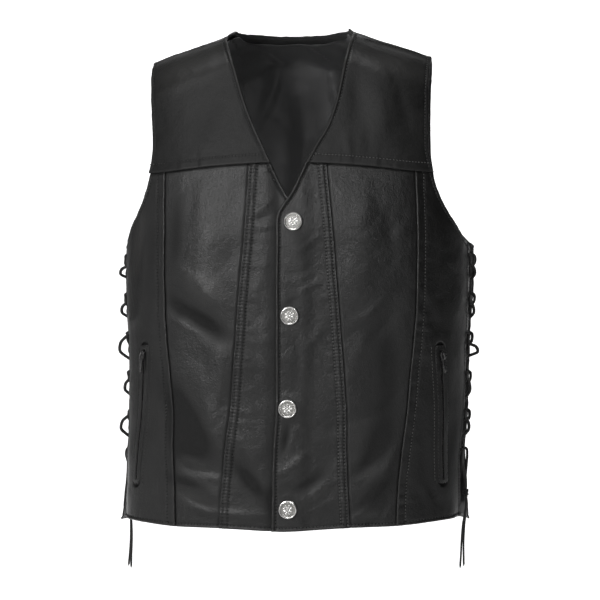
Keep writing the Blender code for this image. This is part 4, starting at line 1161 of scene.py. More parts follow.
def stitchLine(name, tree, line, inward, offset, shadedStitches=False):
    # single stitches, each a little spindle that dips into the leather at its ends
    along = np.concatenate([[0], np.cumsum(np.linalg.norm(np.diff(line, axis=0), axis=1))])
    pitch = sewing["stitchLength"] + sewing["stitchGap"]
    begins = np.arange(pitch / 2, along[-1] - pitch, pitch)

    row = line + offset * inward

    def spot(s):
        point = [np.interp(s, along, row[:, i]) for i in range(3)]
        place, normal, _, _ = tree.find_nearest(Vector(point))
        return np.array(place), np.array(normal)

    radius = sewing["threadRadius"]
    points, faces, paints = threads.setdefault(name, ([], [], []))
    holes.setdefault(name, [])
    for begin in begins:
        start, normal = spot(begin)
        end, _ = spot(begin + sewing["stitchLength"])
        way = end - start
        cross = np.cross(normal, way)
        size = np.linalg.norm(cross)
        if size < 1e-6:
            continue
        cross /= size
        first = len(points)
        points.append(start - normal * radius)
        for share, out in sewing["spindle"]:
            middle = start + way * share + normal * radius * out
            for a, b in ((1, 0), (0, 1), (-1, 0), (0, -1)):
                points.append(middle + radius * (cross * a + normal * b * sewing["spindleFlat"]))
        points.append(end - normal * radius)
        hole = end + (way / np.linalg.norm(way)) * sewing["stitchGap"] / 2
        holes[name].append((hole, normal, cross))
        for i in range(4):
            j = (i + 1) % 4
            faces.append((first, first + 1 + j, first + 1 + i))
            for ring in (1, 5):
                faces.append((first + ring + i, first + ring + j, first + ring + 4 + j, first + ring + 4 + i))
            faces.append((first + 9 + i, first + 9 + j, first + 13))
        # the shaded copy of the thread where the style asks for it, the lit copy elsewhere
        paints += [int(shadedStitches)] * (len(faces) - len(paints))


def outerTree(outer):
    cells = gridFaces(*outer.shape[:2]).reshape(-1, 4).tolist()
    return BVHTree.FromPolygons([Vector(point) for point in outer.reshape(-1, 3)], cells)


def reliefOf(angle, below):
    # the form's points, the way out of it, the height of creases and wrinkles there, and the shade and
    # highlight painted on them
    base = formPoint(angle, below)
    face = np.where(below < 0, front, back)
    drop = np.abs(below)
    for _ in range(vest["ridgePasses"]):
        across = shareOf(angle) * halfWidth(face, drop)
        drop = np.abs(below) + ridgeDrop(across)
    lift = creaseHeight(face, across, drop, smallCreases)
    # painted shade in the small creases' hollows and painted highlight on their swells, added to the wear
    # list's painted patches
    tone = creaseHeight(face, across, drop, wear) + lift * leatherLook["foldShadeAndHighlight"]
    for size, height, seed, degrees, stretch, sharp in wrinkles:
        turn = math.radians(degrees)
        along = base[..., 0] * math.cos(turn) + base[..., 2] * math.sin(turn)
        over = base[..., 2] * math.cos(turn) - base[..., 0] * math.sin(turn)
        uneven = softNoise(np.stack([along / stretch, base[..., 1], over], axis=-1), size, seed)
        lift = lift + height * ((1 - np.abs(uneven)) ** 5 if sharp else uneven)
    return base, outward(angle, below), lift, tone


def faceFlip(grid, normal):
    # whether the grid's cells look into the piece
    turned = np.cross(grid[1:, :-1] - grid[:-1, :-1], grid[:-1, 1:] - grid[:-1, :-1])
    return bool(np.mean(np.sum(turned * normal[:-1, :-1], axis=-1)) > 0)


def sewnPanel(name, node, angle, below, edges, look, extra=0.0, keep=None, calm=1.0, shade=0.0):
    # a leather panel: its form, its creases, and what each sewn edge does beside it
    base, normal, lift, marks = reliefOf(angle, below)
    lift = lift * calm + extra
    thick = np.ones_like(lift)
    # marks carry painted shade and painted highlight from creases, wear patches, the shade given and each sewn
    # edge
    marks = marks + shade
    lines = []
    for seed, (style, *parts) in enumerate(edges):
        line, inward = joinedEdge(base, parts)
        distance, place = nearLine(base, line)
        rise, rounded, mark = edgeLift(style, distance, place, seed + 11)
        lift = lift + rise
        thick = np.minimum(thick, rounded)
        marks = marks + mark
        lines.append((style, line, inward))
    wall = vest["leather"]
    middle = base + normal * (lift - wall / 2)[..., None]
    outer = middle + normal * (thick * wall / 2)[..., None]
    inner = middle - normal * (thick * wall / 2)[..., None]
    piece = closedSheet(name, outer, inner, [look, satin], keep, flip=faceFlip(base, normal), seam=marks)
    onVest(piece, "black_leather", node)
    tree = outerTree(outer)
    for style, line, inward in lines:
        for offset in edgeStyles[style].get("stitch", []):
            stitchLine(name, tree, line, inward, offset, edgeStyles[style].get("shadedStitches", False))
    return tree


def frontGrid(side, grid):
    angle = side * grid[..., 0]
    return angle, belowOf(front, angle, grid[..., 1])


# lines of the front pieces, for the wearer's left; the right is their mirror
def seamEnds(seam):
    foot = alongTable(hem, "across", "drop", longSeams[seam][-1])
    head = alongTable(yokeSeam, "across", "drop", longSeams[seam][0]) + vest["seamGap"] / 2
    return foot, head


def longSeam(seam, shift, tuck):
    # tuck is how far the seam runs on under the yoke
    foot, head = seamEnds(seam)

    def edge(share):
        drop = between(foot, head - tuck, share)
        return frontSpot(alongTable(longSeams, "drop", seam, drop) + shift, drop)

    return edge


def seamFoot(seam, shift):
    return alongTable(longSeams, "drop", seam, seamEnds(seam)[0]) + shift


def seamHead(seam, shift):
    return alongTable(longSeams, "drop", seam, seamEnds(seam)[1]) + shift


def hemSpot(across):
    return frontSpot(across, alongTable(hem, "across", "drop", np.abs(across)))


def alongHem(start, end):
    return lambda share: hemSpot(between(start, end, share))


def yokeSpot(across, shift):
    return frontSpot(across, alongTable(yokeSeam, "across", "drop", across) + shift)


def neckAcross(side, drop):
    return alongTable(neckEdge, "drop", sideWord[side], drop)


def neckAtYoke(side, shift):
    return alongTable(yokeSeam, "across", "drop", neckAcross(side, yokeSeam["drop"][0])) + shift


snaps = {
    "drop": [0.2532, 0.3742, 0.4943, 0.6244],
    "across": [0.0068, 0.0023, -0.0003, 0.0050],
    "radius": 0.0120,
    "calmEase": 0.014,
    "sides": 64,
    # turned profile from the back's rim round to the field
    "profile": [(0.0110, 0.0000), (0.0119, 0.0006), (0.0120, 0.0016), (0.0118, 0.0026), (0.0113, 0.0033),
                (0.0107, 0.0035), (0.0101, 0.0033), (0.0097, 0.0028), (0.0094, 0.0023), (0.0086, 0.0022),
                (0.0060, 0.0024), (0.0030, 0.0025)],
    "beads": 28,
    "beadAt": 0.0087,
    "beadSize": 0.00062,
    "beadOut": 0.0023,
    "petals": 8,
    "petalAt": 0.0043,
    "petalSize": (0.0026, 0.0013, 0.0008),
    "boss": (0.0016, 0.0016, 0.0010),
    "fieldOut": 0.0024,
    "hollowOut": 0.0021,
    "reliefTall": 0.0010,
    "spin": 0.4,
}
centrePanel = {
    "cornerCut": (0.0034, 0.016),
    "pressed": 0.0022,
    "pressedWide": 0.0085,
    "shade": 0.85,
    "shadeWide": 0.0062,
    "corner": 0.56,
    "wide": 0.098,
    "long": 0.41,
    "cut": (0.125, 0.490, 0.0415),
}


def makeCentre(side):
    half = vest["seamGap"] / 2
    lap = vest["lap"]
    corner = centrePanel["corner"]
    tuck = edgeStyles["under"]["tuck"]
    yokeDrop = neckAtYoke(side, -tuck)
    seamTop = seamHead("double", -half)
    hemDrop = alongTable(hem, "across", "drop", lap)
    cutBack, cutOver = centrePanel["cornerCut"]

    def frontEdge(share):
        drop = between(hemDrop, vest["neckCornerDrop"], share)
        return frontSpot(cutBack * ease((vest["neckCornerDrop"] + cutOver - drop) / cutOver) ** 2 - lap, drop)

    def top(share):
        neckDrop = between(vest["neckCornerDrop"], yokeDrop, np.clip(share / corner, 0, 1))
        cut = cutBack * ease((neckDrop - vest["neckCornerDrop"] + cutOver) / cutOver) ** 2
        neck = frontSpot(neckAcross(side, neckDrop) + cut, neckDrop)
        reach = np.clip((share - corner) / (1 - corner), 0, 1)
        yoke = yokeSpot(between(neckAcross(side, yokeDrop), seamTop, reach), -tuck)
        return np.where((share <= corner)[:, None], neck, yoke)

    columns = withMark(edgeMarks(centrePanel["wide"], "turned", "double", sewing["cell"]), corner)
    rows = edgeMarks(centrePanel["long"], "hem", "turned", sewing["seamCell"])
    bottom = alongHem(-lap, seamFoot("double", -half))
    grid = patch(bottom, top, frontEdge, longSeam("double", -half, tuck), columns, rows)
    across = shareOf(grid[..., 0]) * halfWidth(front, grid[..., 1])
    shade = 0.0
    if side == left:
        onTop = ease((lap + vest["lapBlend"] - across) / vest["lapBlend"])
        lift = (vest["leather"] + vest["layerGap"]) * onTop
    else:
        lift = -centrePanel["pressed"] * hump(across, lap, centrePanel["pressedWide"])
        shade = -centrePanel["shade"] * hump(across, lap, centrePanel["shadeWide"])
    angle, below = frontGrid(side, grid)
    calm = np.ones_like(across)
    for place, drop in zip(snaps["across"], snaps["drop"]):
        gap = np.hypot(side * across - place, grid[..., 1] - drop)
        calm = calm * ease((gap - snaps["radius"]) / snaps["calmEase"])
    turn = int(np.argmin(np.abs(columns - corner)))
    edges = [
        ("turned", ("left", whole), ("top", slice(0, turn + 1))),
        ("under", ("top", slice(turn, None))),
        ("double", ("right", whole)),
        ("hem", ("bottom", whole)),
    ]
    name = "frontCentre" + sideTail[side]
    sewnPanel(name, "front_center_" + sideWord[side], angle, below, edges, leather, lift,
              calm=calm, shade=shade)


middlePanel = {"wide": 0.100, "long": 0.47, "cut": (0.125, 0.480, 0.052)}


def makeMiddle(side):
    tuck = edgeStyles["under"]["tuck"]
    start = seamHead("double", -tuck)
    end = seamHead("side", tuck)

    def top(share):
        return yokeSpot(between(start, end, share), -tuck)

    columns = edgeMarks(middlePanel["wide"], "doubleUnder", "under", sewing["cell"])
    rows = edgeMarks(middlePanel["long"], "hem", "under", sewing["cell"])
    bottom = alongHem(seamFoot("double", -tuck), seamFoot("side", tuck))
    grid = patch(bottom, top, longSeam("double", -tuck, tuck), longSeam("side", tuck, tuck), columns, rows)
    angle, below = frontGrid(side, grid)
    edges = [
        ("doubleUnder", ("left", whole)),
        ("under", ("right", whole)),
        ("under", ("top", whole)),
        ("hem", ("bottom", whole)),
    ]
    name, node = "frontMiddle" + sideTail[side], "front_mid_" + sideWord[side]
    sewnPanel(name, node, angle, below, edges, leather)


# pocket opening: where its slit runs, the trough that the zip lies in, and the stitch row beside it
pocket = {
    "top": (0.195, 0.418),
    "bottom": (0.203, 0.590),
    "trough": 0.0034,
    "troughHalf": 0.0058,
    "troughEase": 0.0026,
    "troughPast": 0.01,
    "troughSteps": 80,
    "rowOut": 0.0155,
    "rowPast": 0.03,
    "rowSteps": 90,
}
welt = {
    "half": 0.0100,
    "calmEase": 0.020,
    "long": 0.1725,
    "endOut": 0.0050,
    "corner": 0.0060,
    "window": 0.0017,
    "windowCorner": 0.0012,
    "windowIn": 0.0010,
    "wall": 0.0010,
    "stitchAt": 0.84,
    # share of the way out from the window, and height over the panel
    "profile": [(0.00, -0.0012), (0.03, 0.0000), (0.10, 0.0005), (0.20, 0.0006), (0.36, 0.0005),
                (0.52, 0.0004), (0.70, 0.0004), (0.78, 0.0003), (0.84, 0.0001), (0.89, 0.0003),
                (0.94, 0.0002), (0.98, 0.0000), (1.00, -0.0005)],
    "uneven": 0.0002,
    "unevenSize": 0.012,
    "seed": 21,
    "sideSteps": 80,
    "endSteps": 6,
    "cornerSteps": 7,
    "cut": (0.0200, 0.1825, 0.0032),
}
zipper = {
    "tapeHalf": 0.0050,
    "tapeOut": -0.0022,
    "tapeWall": 0.0005,
    "tapeRows": 70,
    "tapeColumns": 7,
    "cut": (0.0100, 0.1725, 0.00172),
    "toothPitch": 0.0016,
    "toothSize": (0.0019, 0.0009, 0.0012),
    "toothBevel": 0.0002,
    "toothShift": 0.0006,
    "toothOut": -0.0013,
    "toothProbe": 0.001,
    "bareEnds": 0.004,
    "sliderAt": 0.055,
    "sliderSpan": 0.02,
    "seatOut": 0.0018,
    "sliderSize": (0.0080, 0.0120, 0.0026),
    "sliderCorner": 0.0026,
    "sliderNarrow": 0.72,
    "sliderBevel": 0.0005,
    "archWindow": 0.0024,
    "archRadius": 0.0040,
    "archWire": 0.0009,
    "archScale": (0.72, 1.0, 1.15),
    "tabSize": (0.0052, 0.0220, 0.0012),
    "tabCorner": 0.0021,
    "tabBevel": 0.00028,
    "tabWindow": (0.0030, 0.0050),
    "windowCorner": 0.0010,
    "tabBar": 0.0014,
    # raised panel on the tab: its place down the tab, its share of the length, margin and rise
    "panelAt": 0.66,
    "panelLong": 0.48,
    "panelMargin": 0.0020,
    "panelRise": 0.0004,
    "panelCorner": 0.0012,
    "panelBevel": 0.00018,
}


def slitPlace(side, share, shift):
    share, shift = np.broadcast_arrays(np.asarray(share, float), np.asarray(shift, float))
    across = between(pocket["top"][0], pocket["bottom"][0], share)
    drop = between(pocket["top"][1], pocket["bottom"][1], share)
    angle = angleOf(across / halfWidth(front, drop))
    below = belowOf(front, angle, drop)
    step = vest["nudge"]
    width = formPoint(angle + step, below) - formPoint(angle - step, below)
    angle = angle + shift * 2 * step / np.linalg.norm(width, axis=-1)
    return side * angle, belowOf(front, angle, drop)


def besideSlit(side, shift, past, steps):
    return formPoint(*slitPlace(side, np.linspace(-past, 1 + past, steps), shift))


def pocketTrough(side, angle, below):
    slit = besideSlit(side, 0.0, pocket["troughPast"], pocket["troughSteps"])
    distance, _ = nearLine(formPoint(angle, below), slit)
    trough = -pocket["trough"] * (1 - ease((distance - pocket["troughHalf"]) / pocket["troughEase"]))
    return trough, ease((distance - welt["half"]) / welt["calmEase"])


sidePanel = {"corner": 0.28, "wide": 0.125, "long": 0.44, "cut": (0.170, 0.470, 0.052)}


def armholeSpot(cornerDrop, share):
    drop = between(cornerDrop, vest["armpitDrop"], share)
    curve = frontSpot(alongTable(armhole, "drop", "front", drop), drop)
    last = armhole["drop"][-1]
    reach = ease((drop - last) / (vest["armpitDrop"] - last))
    start = angleOf(armhole["front"][-1] / halfWidth(front, last))
    end = lacedAngle(front, vest["armpitDrop"], 0.0)
    angle = np.where(drop > last, between(start, end, reach), curve[..., 0])
    return np.stack([angle, drop], axis=-1)


def openHoles(side, face, angle, below):
    # moves a grid point to each lace hole's middle, opens the four cells round it, and rounds their rim
    keep = np.ones((angle.shape[0] - 1, angle.shape[1] - 1), bool)
    angle, below = angle.copy(), below.copy()
    base = formPoint(angle, below)
    for row in range(lacing["rows"]):
        drop = holeDrop(row)
        middle = side * lacedAngle(face, drop, lacing["holeInset"])
        level = belowOf(face, middle, drop)
        spot = formPoint(middle, level)
        step = vest["nudge"]
        sideways = formPoint(middle + step, level) - formPoint(middle - step, level)
        lengthways = formPoint(middle, level + step) - formPoint(middle, level - step)
        perStep = np.array([np.linalg.norm(sideways), np.linalg.norm(lengthways)]) / (2 * step)
        gap = np.linalg.norm(base - spot, axis=-1)
        r, c = np.unravel_index(gap.argmin(), gap.shape)
        pull = 1 - ease((gap - lacing["holePull"][0]) / lacing["holePull"][1])
        angle += (middle - angle[r, c]) * pull
        below += (level - below[r, c]) * pull
        keep[r - 1 : r + 1, c - 1 : c + 1] = False
        for dr, dc in ((-1, -1), (-1, 0), (-1, 1), (0, 1), (1, 1), (1, 0), (1, -1), (0, -1)):
            away = np.array([angle[r + dr, c + dc] - middle, below[r + dr, c + dc] - level]) * perStep
            away *= lacing["holeRadius"] / np.linalg.norm(away) / perStep
            angle[r + dr, c + dc] = middle + away[0]
            below[r + dr, c + dc] = level + away[1]
    return angle, below, keep


def makeSide(side):
    half = vest["seamGap"] / 2
    corner = sidePanel["corner"]
    start = seamHead("side", half)
    tuck = edgeStyles["under"]["tuck"]
    tip = alongTable(armhole, "drop", "front", yokeSeam["drop"][-1] - tuck)
    tipDrop = alongTable(yokeSeam, "across", "drop", tip) - tuck
    hemDrop = hem["drop"][-1]

    def lacedEdge(share):
        drop = between(hemDrop, vest["armpitDrop"], share)
        return np.stack([lacedAngle(front, drop, 0.0), drop], axis=-1)

    def top(share):
        yoke = yokeSpot(between(start, tip, np.clip(share / corner, 0, 1)), -tuck)
        reach = np.clip((share - corner) / (1 - corner), 0, 1)
        return np.where((share <= corner)[:, None], yoke, armholeSpot(tipDrop, reach))

    def bottom(share):
        foot = hemSpot(seamFoot("side", half))
        angle = between(foot[0], lacedAngle(front, hemDrop, 0.0), share)
        drop = alongTable(hem, "across", "drop", shareOf(angle) * halfWidth(front, hemDrop))
        return np.stack([angle, between(drop, hemDrop, share**2)], axis=-1)

    columns = withMark(edgeMarks(sidePanel["wide"], "sideOver", "laced", sewing["cell"]), corner)
    rows = edgeMarks(sidePanel["long"], "hem", "arm", sewing["seamCell"])
    grid = patch(bottom, top, longSeam("side", half, tuck), lacedEdge, columns, rows)
    angle, below = frontGrid(side, grid)
    angle, below, keep = openHoles(side, front, angle, below)
    turn = int(np.argmin(np.abs(columns - corner)))
    edges = [
        ("sideOver", ("left", whole)),
        ("under", ("top", slice(0, turn + 1))),
        ("arm", ("top", slice(turn, None))),
        ("laced", ("right", whole)),
        ("hem", ("bottom", whole)),
    ]
    name = "frontSide" + sideTail[side]
    trough, calm = pocketTrough(side, angle, below)
    tree = sewnPanel(name, "front_side_" + sideWord[side], angle, below, edges, leather, trough, keep,
                     calm=calm)
    row = besideSlit(side, -pocket["rowOut"], pocket["rowPast"], pocket["rowSteps"])
    stitchLine(name, tree, row, np.zeros_like(row), 0.0)


yoke = {"calm": 0.7, "wide": 0.125, "long": 0.185, "gather": 2.0, "cut": (0.165, 0.200, 0.0255)}


def seamForward(across):
    tip = armhole["front"][0]
    share = np.clip((np.abs(across) - vest["neckPoint"]) / (tip - vest["neckPoint"]), 0, 1)
    return between(*vest["seamForward"], share)


def shoulderDrop(across, shift):
    return ridgeDrop(across) + seamForward(across) + shift


def makeYoke(side):
    half = vest["seamGap"] / 2
    tip = armhole["front"][0]
    corner = alongTable(armhole, "drop", "front", yokeSeam["drop"][-1])
    lowNeck = neckAtYoke(side, -half)
    lowArm = alongTable(yokeSeam, "across", "drop", corner) - half

    def bottom(share):
        return yokeSpot(between(neckAcross(side, lowNeck), corner, share), -half)

    def top(share):
        across = between(vest["neckPoint"], tip, share)
        return frontSpot(across, shoulderDrop(across, half))

    def neck(share):
        drop = between(lowNeck, shoulderDrop(vest["neckPoint"], half), share)
        return frontSpot(neckAcross(side, drop), drop)

    def arm(share):
        drop = between(lowArm, shoulderDrop(tip, half), share)
        return frontSpot(alongTable(armhole, "drop", "front", drop), drop)

    columns = edgeMarks(yoke["wide"], "collar", "arm", sewing["seamCell"])
    rows = edgeMarks(yoke["long"], "lapOver", "shoulder", sewing["cell"])
    rows = 1 - (1 - rows) ** yoke["gather"]
    grid = patch(bottom, top, neck, arm, columns, rows)
    angle, below = frontGrid(side, grid)
    edges = [
        ("collar", ("left", whole)),
        ("arm", ("right", whole)),
        ("shoulder", ("top", whole)),
        ("lapOver", ("bottom", whole)),
    ]
    name, node = "frontYoke" + sideTail[side], "front_yoke_" + sideWord[side]
    sewnPanel(name, node, angle, below, edges, yokeLeather, calm=yoke["calm"])


backPanel = {
    "neckColumns": 44, "neckGather": 1.5,
    "shoulderLong": 0.16, "lowLong": 0.37, "highLong": 0.33,
    "cut": (0.640, 0.740, 0.345),
}
liningSheet = {
    "neckColumns": 30, "sideColumns": 32, "lowRows": 76, "highRows": 72,
    "sideShare": 0.93, "hemShare": 0.05, "topShare": 0.975,
    "gap": 0.0012, "wall": 0.0006, "stretch": 0.30,
    "folds": [(0.060, 0.0024, 31), (0.026, 0.0010, 33)],
    "creases": [
        (back, 0.034, 0.008, 0.030, 0.0040, -32, 0.0034, 0.0),
        (back, -0.036, 0.012, 0.026, 0.0060, -30, 0.0034, 0.0),
        (back, -0.040, 0.060, 0.050, 0.0090, 70, 0.0034, 0.1),
        (back, 0.052, 0.080, 0.060, 0.0100, -76, 0.0036, 0.1),
        (back, 0.000, 0.130, 0.070, 0.0120, 84, 0.0034, 0.1),
    ],
    "cut": (0.600, 0.700, 0.31),
}


def backEdgeAngle(drop):
    arm = angleOf(alongTable(armhole, "drop", "back", drop) / halfWidth(back, drop))
    last = armhole["drop"][-1]
    laced = lacedAngle(back, np.maximum(drop, last), 0.0)
    start = angleOf(armhole["back"][-1] / halfWidth(back, last))
    reach = ease((drop - last) / (vest["backArmpitDrop"] - last))
    return np.where(drop > last, between(start, laced, reach), arm)


def unrolled(below):
    size = np.abs(below)
    return np.sign(below) * (size + np.sqrt(size**2 + 4 * vest["shoulderTurn"][back] * size)) / 2


def rolledUp(length):
    return length * np.abs(length) / (np.abs(length) + vest["shoulderTurn"][back])


def backGrid(inner, shoulder, low, high):
    # inner and shoulder are column marks out from the middle; low and high are row marks
    neckPoint = vest["neckPoint"]
    neckDrop = ridgeDrop(neckPoint)
    neckShare = angleOf(neckPoint / halfWidth(back, neckDrop)) / backEdgeAngle(neckDrop)
    half = np.concatenate([inner * neckShare, between(neckShare, 1, shoulder[1:])])
    share = np.concatenate([-half[:0:-1], half])

    def level(drop):
        return unrolled(belowOf(back, share * backEdgeAngle(drop), np.full_like(share, drop)))

    tipDrop = ridgeDrop(armhole["back"][0])
    across = shareOf(share * backEdgeAngle(tipDrop)) * halfWidth(back, tipDrop)
    neck = alongTable(neckline, "across", "below", np.abs(across))
    seam = -seamForward(across) - edgeStyles["under"]["tuck"]
    top = unrolled(np.where(np.abs(share) < neckShare - vest["nudge"], neck, seam))
    middle = level(vest["backArmpitDrop"])
    length = np.concatenate([
        between(level(vest["backHemDrop"]), middle, low[:, None]),
        between(middle, top, high[1:, None]),
    ])
    below = rolledUp(length)
    drop = np.abs(below)
    for _ in range(vest["ridgePasses"]):
        angle = share * backEdgeAngle(drop)
        drop = np.abs(below) + ridgeDrop(shareOf(angle) * halfWidth(back, drop))
    return angle, below, len(half) - len(shoulder)


def makeBack():
    cell = sewing["backCell"]
    inner = 1 - (1 - np.linspace(0, 1, backPanel["neckColumns"] + 1)) ** backPanel["neckGather"]
    shoulder = edgeMarks(backPanel["shoulderLong"], "under", "laced", cell)
    low = edgeMarks(backPanel["lowLong"], "hem", "under", cell)
    high = edgeMarks(backPanel["highLong"], "under", "hem", cell)
    angle, below, neckColumn = backGrid(inner, shoulder, low, high)
    opened = np.ones((angle.shape[0] - 1, angle.shape[1] - 1), bool)
    for side in (left, right):
        angle, below, keep = openHoles(side, back, angle, below)
        opened &= keep
    middle = angle.shape[1] // 2
    first, last = middle - neckColumn - 1, middle + neckColumn + 1
    armRow = len(low)
    edges = [
        ("hem", ("bottom", whole)),
        ("laced", ("left", slice(0, armRow))),
        ("laced", ("right", slice(0, armRow))),
        ("arm", ("left", slice(armRow - 1, None))),
        ("arm", ("right", slice(armRow - 1, None))),
        ("hem", ("top", slice(first, last + 1))),
        ("under", ("top", slice(0, first + 1))),
        ("under", ("top", slice(last, None))),
    ]
    sewnPanel("backPanel", "back", angle, below, edges, leather, keep=opened)


for side in (left, right):
    makeCentre(side)
    makeMiddle(side)
    makeSide(side)
    makeYoke(side)
print("front panels made")
makeBack()
print("back made")


def makeLining():
    inner = 1 - (1 - np.linspace(0, 1, liningSheet["neckColumns"])) ** backPanel["neckGather"]
    shoulder = np.linspace(0, liningSheet["sideShare"], liningSheet["sideColumns"])
    low = np.linspace(liningSheet["hemShare"], 1, liningSheet["lowRows"])
    high = np.linspace(0, liningSheet["topShare"], liningSheet["highRows"])
    angle, below, _ = backGrid(inner, shoulder, low, high)
    base, normal, lift, _ = reliefOf(angle, below)
    folds = np.zeros_like(lift)
    for size, height, seed in liningSheet["folds"]:
        folds += height * (1 + softNoise(base * np.array([1.0, 1.0, liningSheet["stretch"]]), size, seed))
    across = base[..., 0] - alongTable(sections, "drop", "lean", -base[..., 2])
    folds += creaseHeight(np.full(across.shape, back), across, -base[..., 2], liningSheet["creases"])
    lift = lift - vest["leather"] - liningSheet["gap"] - np.maximum(folds, 0)
    outer = base + normal * lift[..., None]
    inside = outer - normal * liningSheet["wall"]
    piece = closedSheet("backLining", outer, inside, [satin], flip=faceFlip(base, normal))
    onVest(piece, "black_satin", "back_lining")


makeLining()
print("lining made")


def loopRound(half, low, high, radius):
    # points round a rounded slot as offsets from the slit line and places along it
    corners = [(half - radius, high - radius), (radius - half, high - radius),
               (radius - half, low + radius), (half - radius, low + radius)]
    runs = [welt["endSteps"], welt["sideSteps"], welt["endSteps"], welt["sideSteps"]]
    points = []
    for i, (x, y) in enumerate(corners):
        for k in range(welt["cornerSteps"] + 1):
            turn = math.pi / 2 * (i + k / welt["cornerSteps"])
            points.append((x + radius * math.cos(turn), y + radius * math.sin(turn)))
        nextX, nextY = corners[(i + 1) % 4]
        turn = math.pi / 2 * (i + 1)
        start = np.array(points[-1])
        target = np.array((nextX + radius * math.cos(turn), nextY + radius * math.sin(turn)))
        for k in range(1, runs[i]):
            points.append(tuple(between(start, target, k / runs[i])))
    return np.array(points)


def makeWelt(side):
    name = "pocketWelt" + sideTail[side]
    long, inset, past = welt["long"], welt["windowIn"], welt["endOut"]
    window = loopRound(welt["window"], inset, long - inset, welt["windowCorner"])
    rim = loopRound(welt["half"], -past, long + past, welt["corner"])
    shares = np.array([share for share, out in welt["profile"]])[:, None, None]
    flat = between(window[None], rim[None], shares)
    angle, below = slitPlace(side, flat[..., 1] / long, flat[..., 0])
    base = formPoint(angle, below)
    normal = outward(angle, below)
    out = np.array([out for share, out in welt["profile"]])[:, None]
    out = out + welt["uneven"] * softNoise(base, welt["unevenSize"], welt["seed"])
    outer = base + normal * out[..., None]
    inner = outer - normal * welt["wall"]
    piece = closedSheet(name, outer, inner, [leather], wrap=True, flip=faceFlip(base, normal))
    onVest(piece, "black_leather", "pocket_welt_" + sideWord[side])
    row = int(np.argmin(np.abs(shares[:, 0, 0] - welt["stitchAt"])))
    line = np.concatenate([outer[row], outer[row, :1]])
    stitchLine(name, outerTree(outer), line, np.zeros_like(line), 0.0, shadedStitches=True)


def slitGrid(side, along, shift, out):
    angle, below = slitPlace(side, along[:, None] / welt["long"], shift[None, :])
    normal = outward(angle, below)
    return formPoint(angle, below) + normal * np.asarray(out)[..., None], normal


def makeZip(side):
    word, tail = sideWord[side], sideTail[side]
    along = np.linspace(0, welt["long"], zipper["tapeRows"])
    shift = np.linspace(-zipper["tapeHalf"], zipper["tapeHalf"], zipper["tapeColumns"])
    outer, normal = slitGrid(side, along, shift, zipper["tapeOut"])
    inner = outer - normal * zipper["tapeWall"]
    strip = closedSheet("zipTape" + tail, outer, inner, [tape], flip=faceFlip(outer, normal))
    onVest(strip, "zip_tape", "pocket_zip_" + word)

    bpy.ops.object.select_all(action="DESELECT")
    bpy.ops.mesh.primitive_cube_add(size=1)
    tooth = bpy.context.object
    tooth.scale = zipper["toothSize"]
    bpy.ops.object.transform_apply(location=False, rotation=False, scale=True)
    bpy.ops.object.mode_set(mode="EDIT")
    bpy.ops.mesh.select_all(action="SELECT")
    bpy.ops.mesh.bevel(offset=zipper["toothBevel"], segments=2)
    bpy.ops.object.mode_set(mode="OBJECT")
    shape = np.array([tuple(vert.co) for vert in tooth.data.vertices])
    cells = [tuple(face.vertices) for face in tooth.data.polygons]
    bpy.data.objects.remove(tooth)
    points, faces = [], []
    places = np.arange(zipper["bareEnds"], welt["long"] - zipper["bareEnds"], zipper["toothPitch"])
    probe = np.array([0.0, zipper["toothProbe"]])
    for k, place in enumerate(places):
        aside = zipper["toothShift"] * (1 if k % 2 else -1)
        spots, normals = slitGrid(side, place + probe, aside + probe, zipper["toothOut"])
        up = spots[1, 0] - spots[0, 0]
        wide = spots[0, 1] - spots[0, 0]
        axes = np.stack([wide / np.linalg.norm(wide), up / np.linalg.norm(up), normals[0, 0]])
        if np.linalg.det(axes) < 0:
            axes[0] = -axes[0]
        first = len(points)
        points.extend(shape @ axes + spots[0, 0])
        faces.extend(tuple(first + i for i in cell) for cell in cells)
    onVest(addMesh("zipTeeth" + tail, points, faces, [darkMetal]), "dark_metal")


def sliderFrame(side):
    # X along the pull tab's hinge, Y up the zip, Z out from the panel
    at, span = zipper["sliderAt"], zipper["sliderSpan"]
    angle, below = slitPlace(side, at, 0.0)
    out = Vector(outward(angle, below))
    up = Vector(formPoint(*slitPlace(side, at - span, 0.0)) - formPoint(*slitPlace(side, at + span, 0.0)))
    across = up.cross(out).normalized()
    up = out.cross(across).normalized()
    place = Matrix((across, up, out)).transposed().to_4x4()
    place.translation = Vector(formPoint(angle, below)) + out * zipper["seatOut"]
    return place


def roundedBlock(name, size, middle, corner, steps):
    # a block with its upright edges rounded
    bpy.ops.object.select_all(action="DESELECT")
    bpy.ops.mesh.primitive_cube_add(size=1, location=middle)
    thing = bpy.context.object
    thing.name = name
    thing.scale = size
    bpy.ops.object.transform_apply(location=True, rotation=False, scale=True)
    bpy.ops.object.mode_set(mode="EDIT")
    bpy.ops.mesh.select_mode(type="EDGE")
    bpy.ops.mesh.select_all(action="DESELECT")
    mesh = bmesh.from_edit_mesh(thing.data)
    for edge in mesh.edges:
        ends = [vert.co for vert in edge.verts]
        edge.select_set(abs(ends[0].z - ends[1].z) > size[2] / 2)
    bmesh.update_edit_mesh(thing.data)
    bpy.ops.mesh.bevel(offset=corner, segments=steps)
    bpy.ops.object.mode_set(mode="OBJECT")
    return thing


def applyModifier(thing, kind, **settings):
    bpy.context.view_layer.objects.active = thing
    modifier = thing.modifiers.new("change", kind)
    for name, value in settings.items():
        setattr(modifier, name, value)
    bpy.ops.object.modifier_apply(modifier=modifier.name)


smoothBelow = math.radians(35)


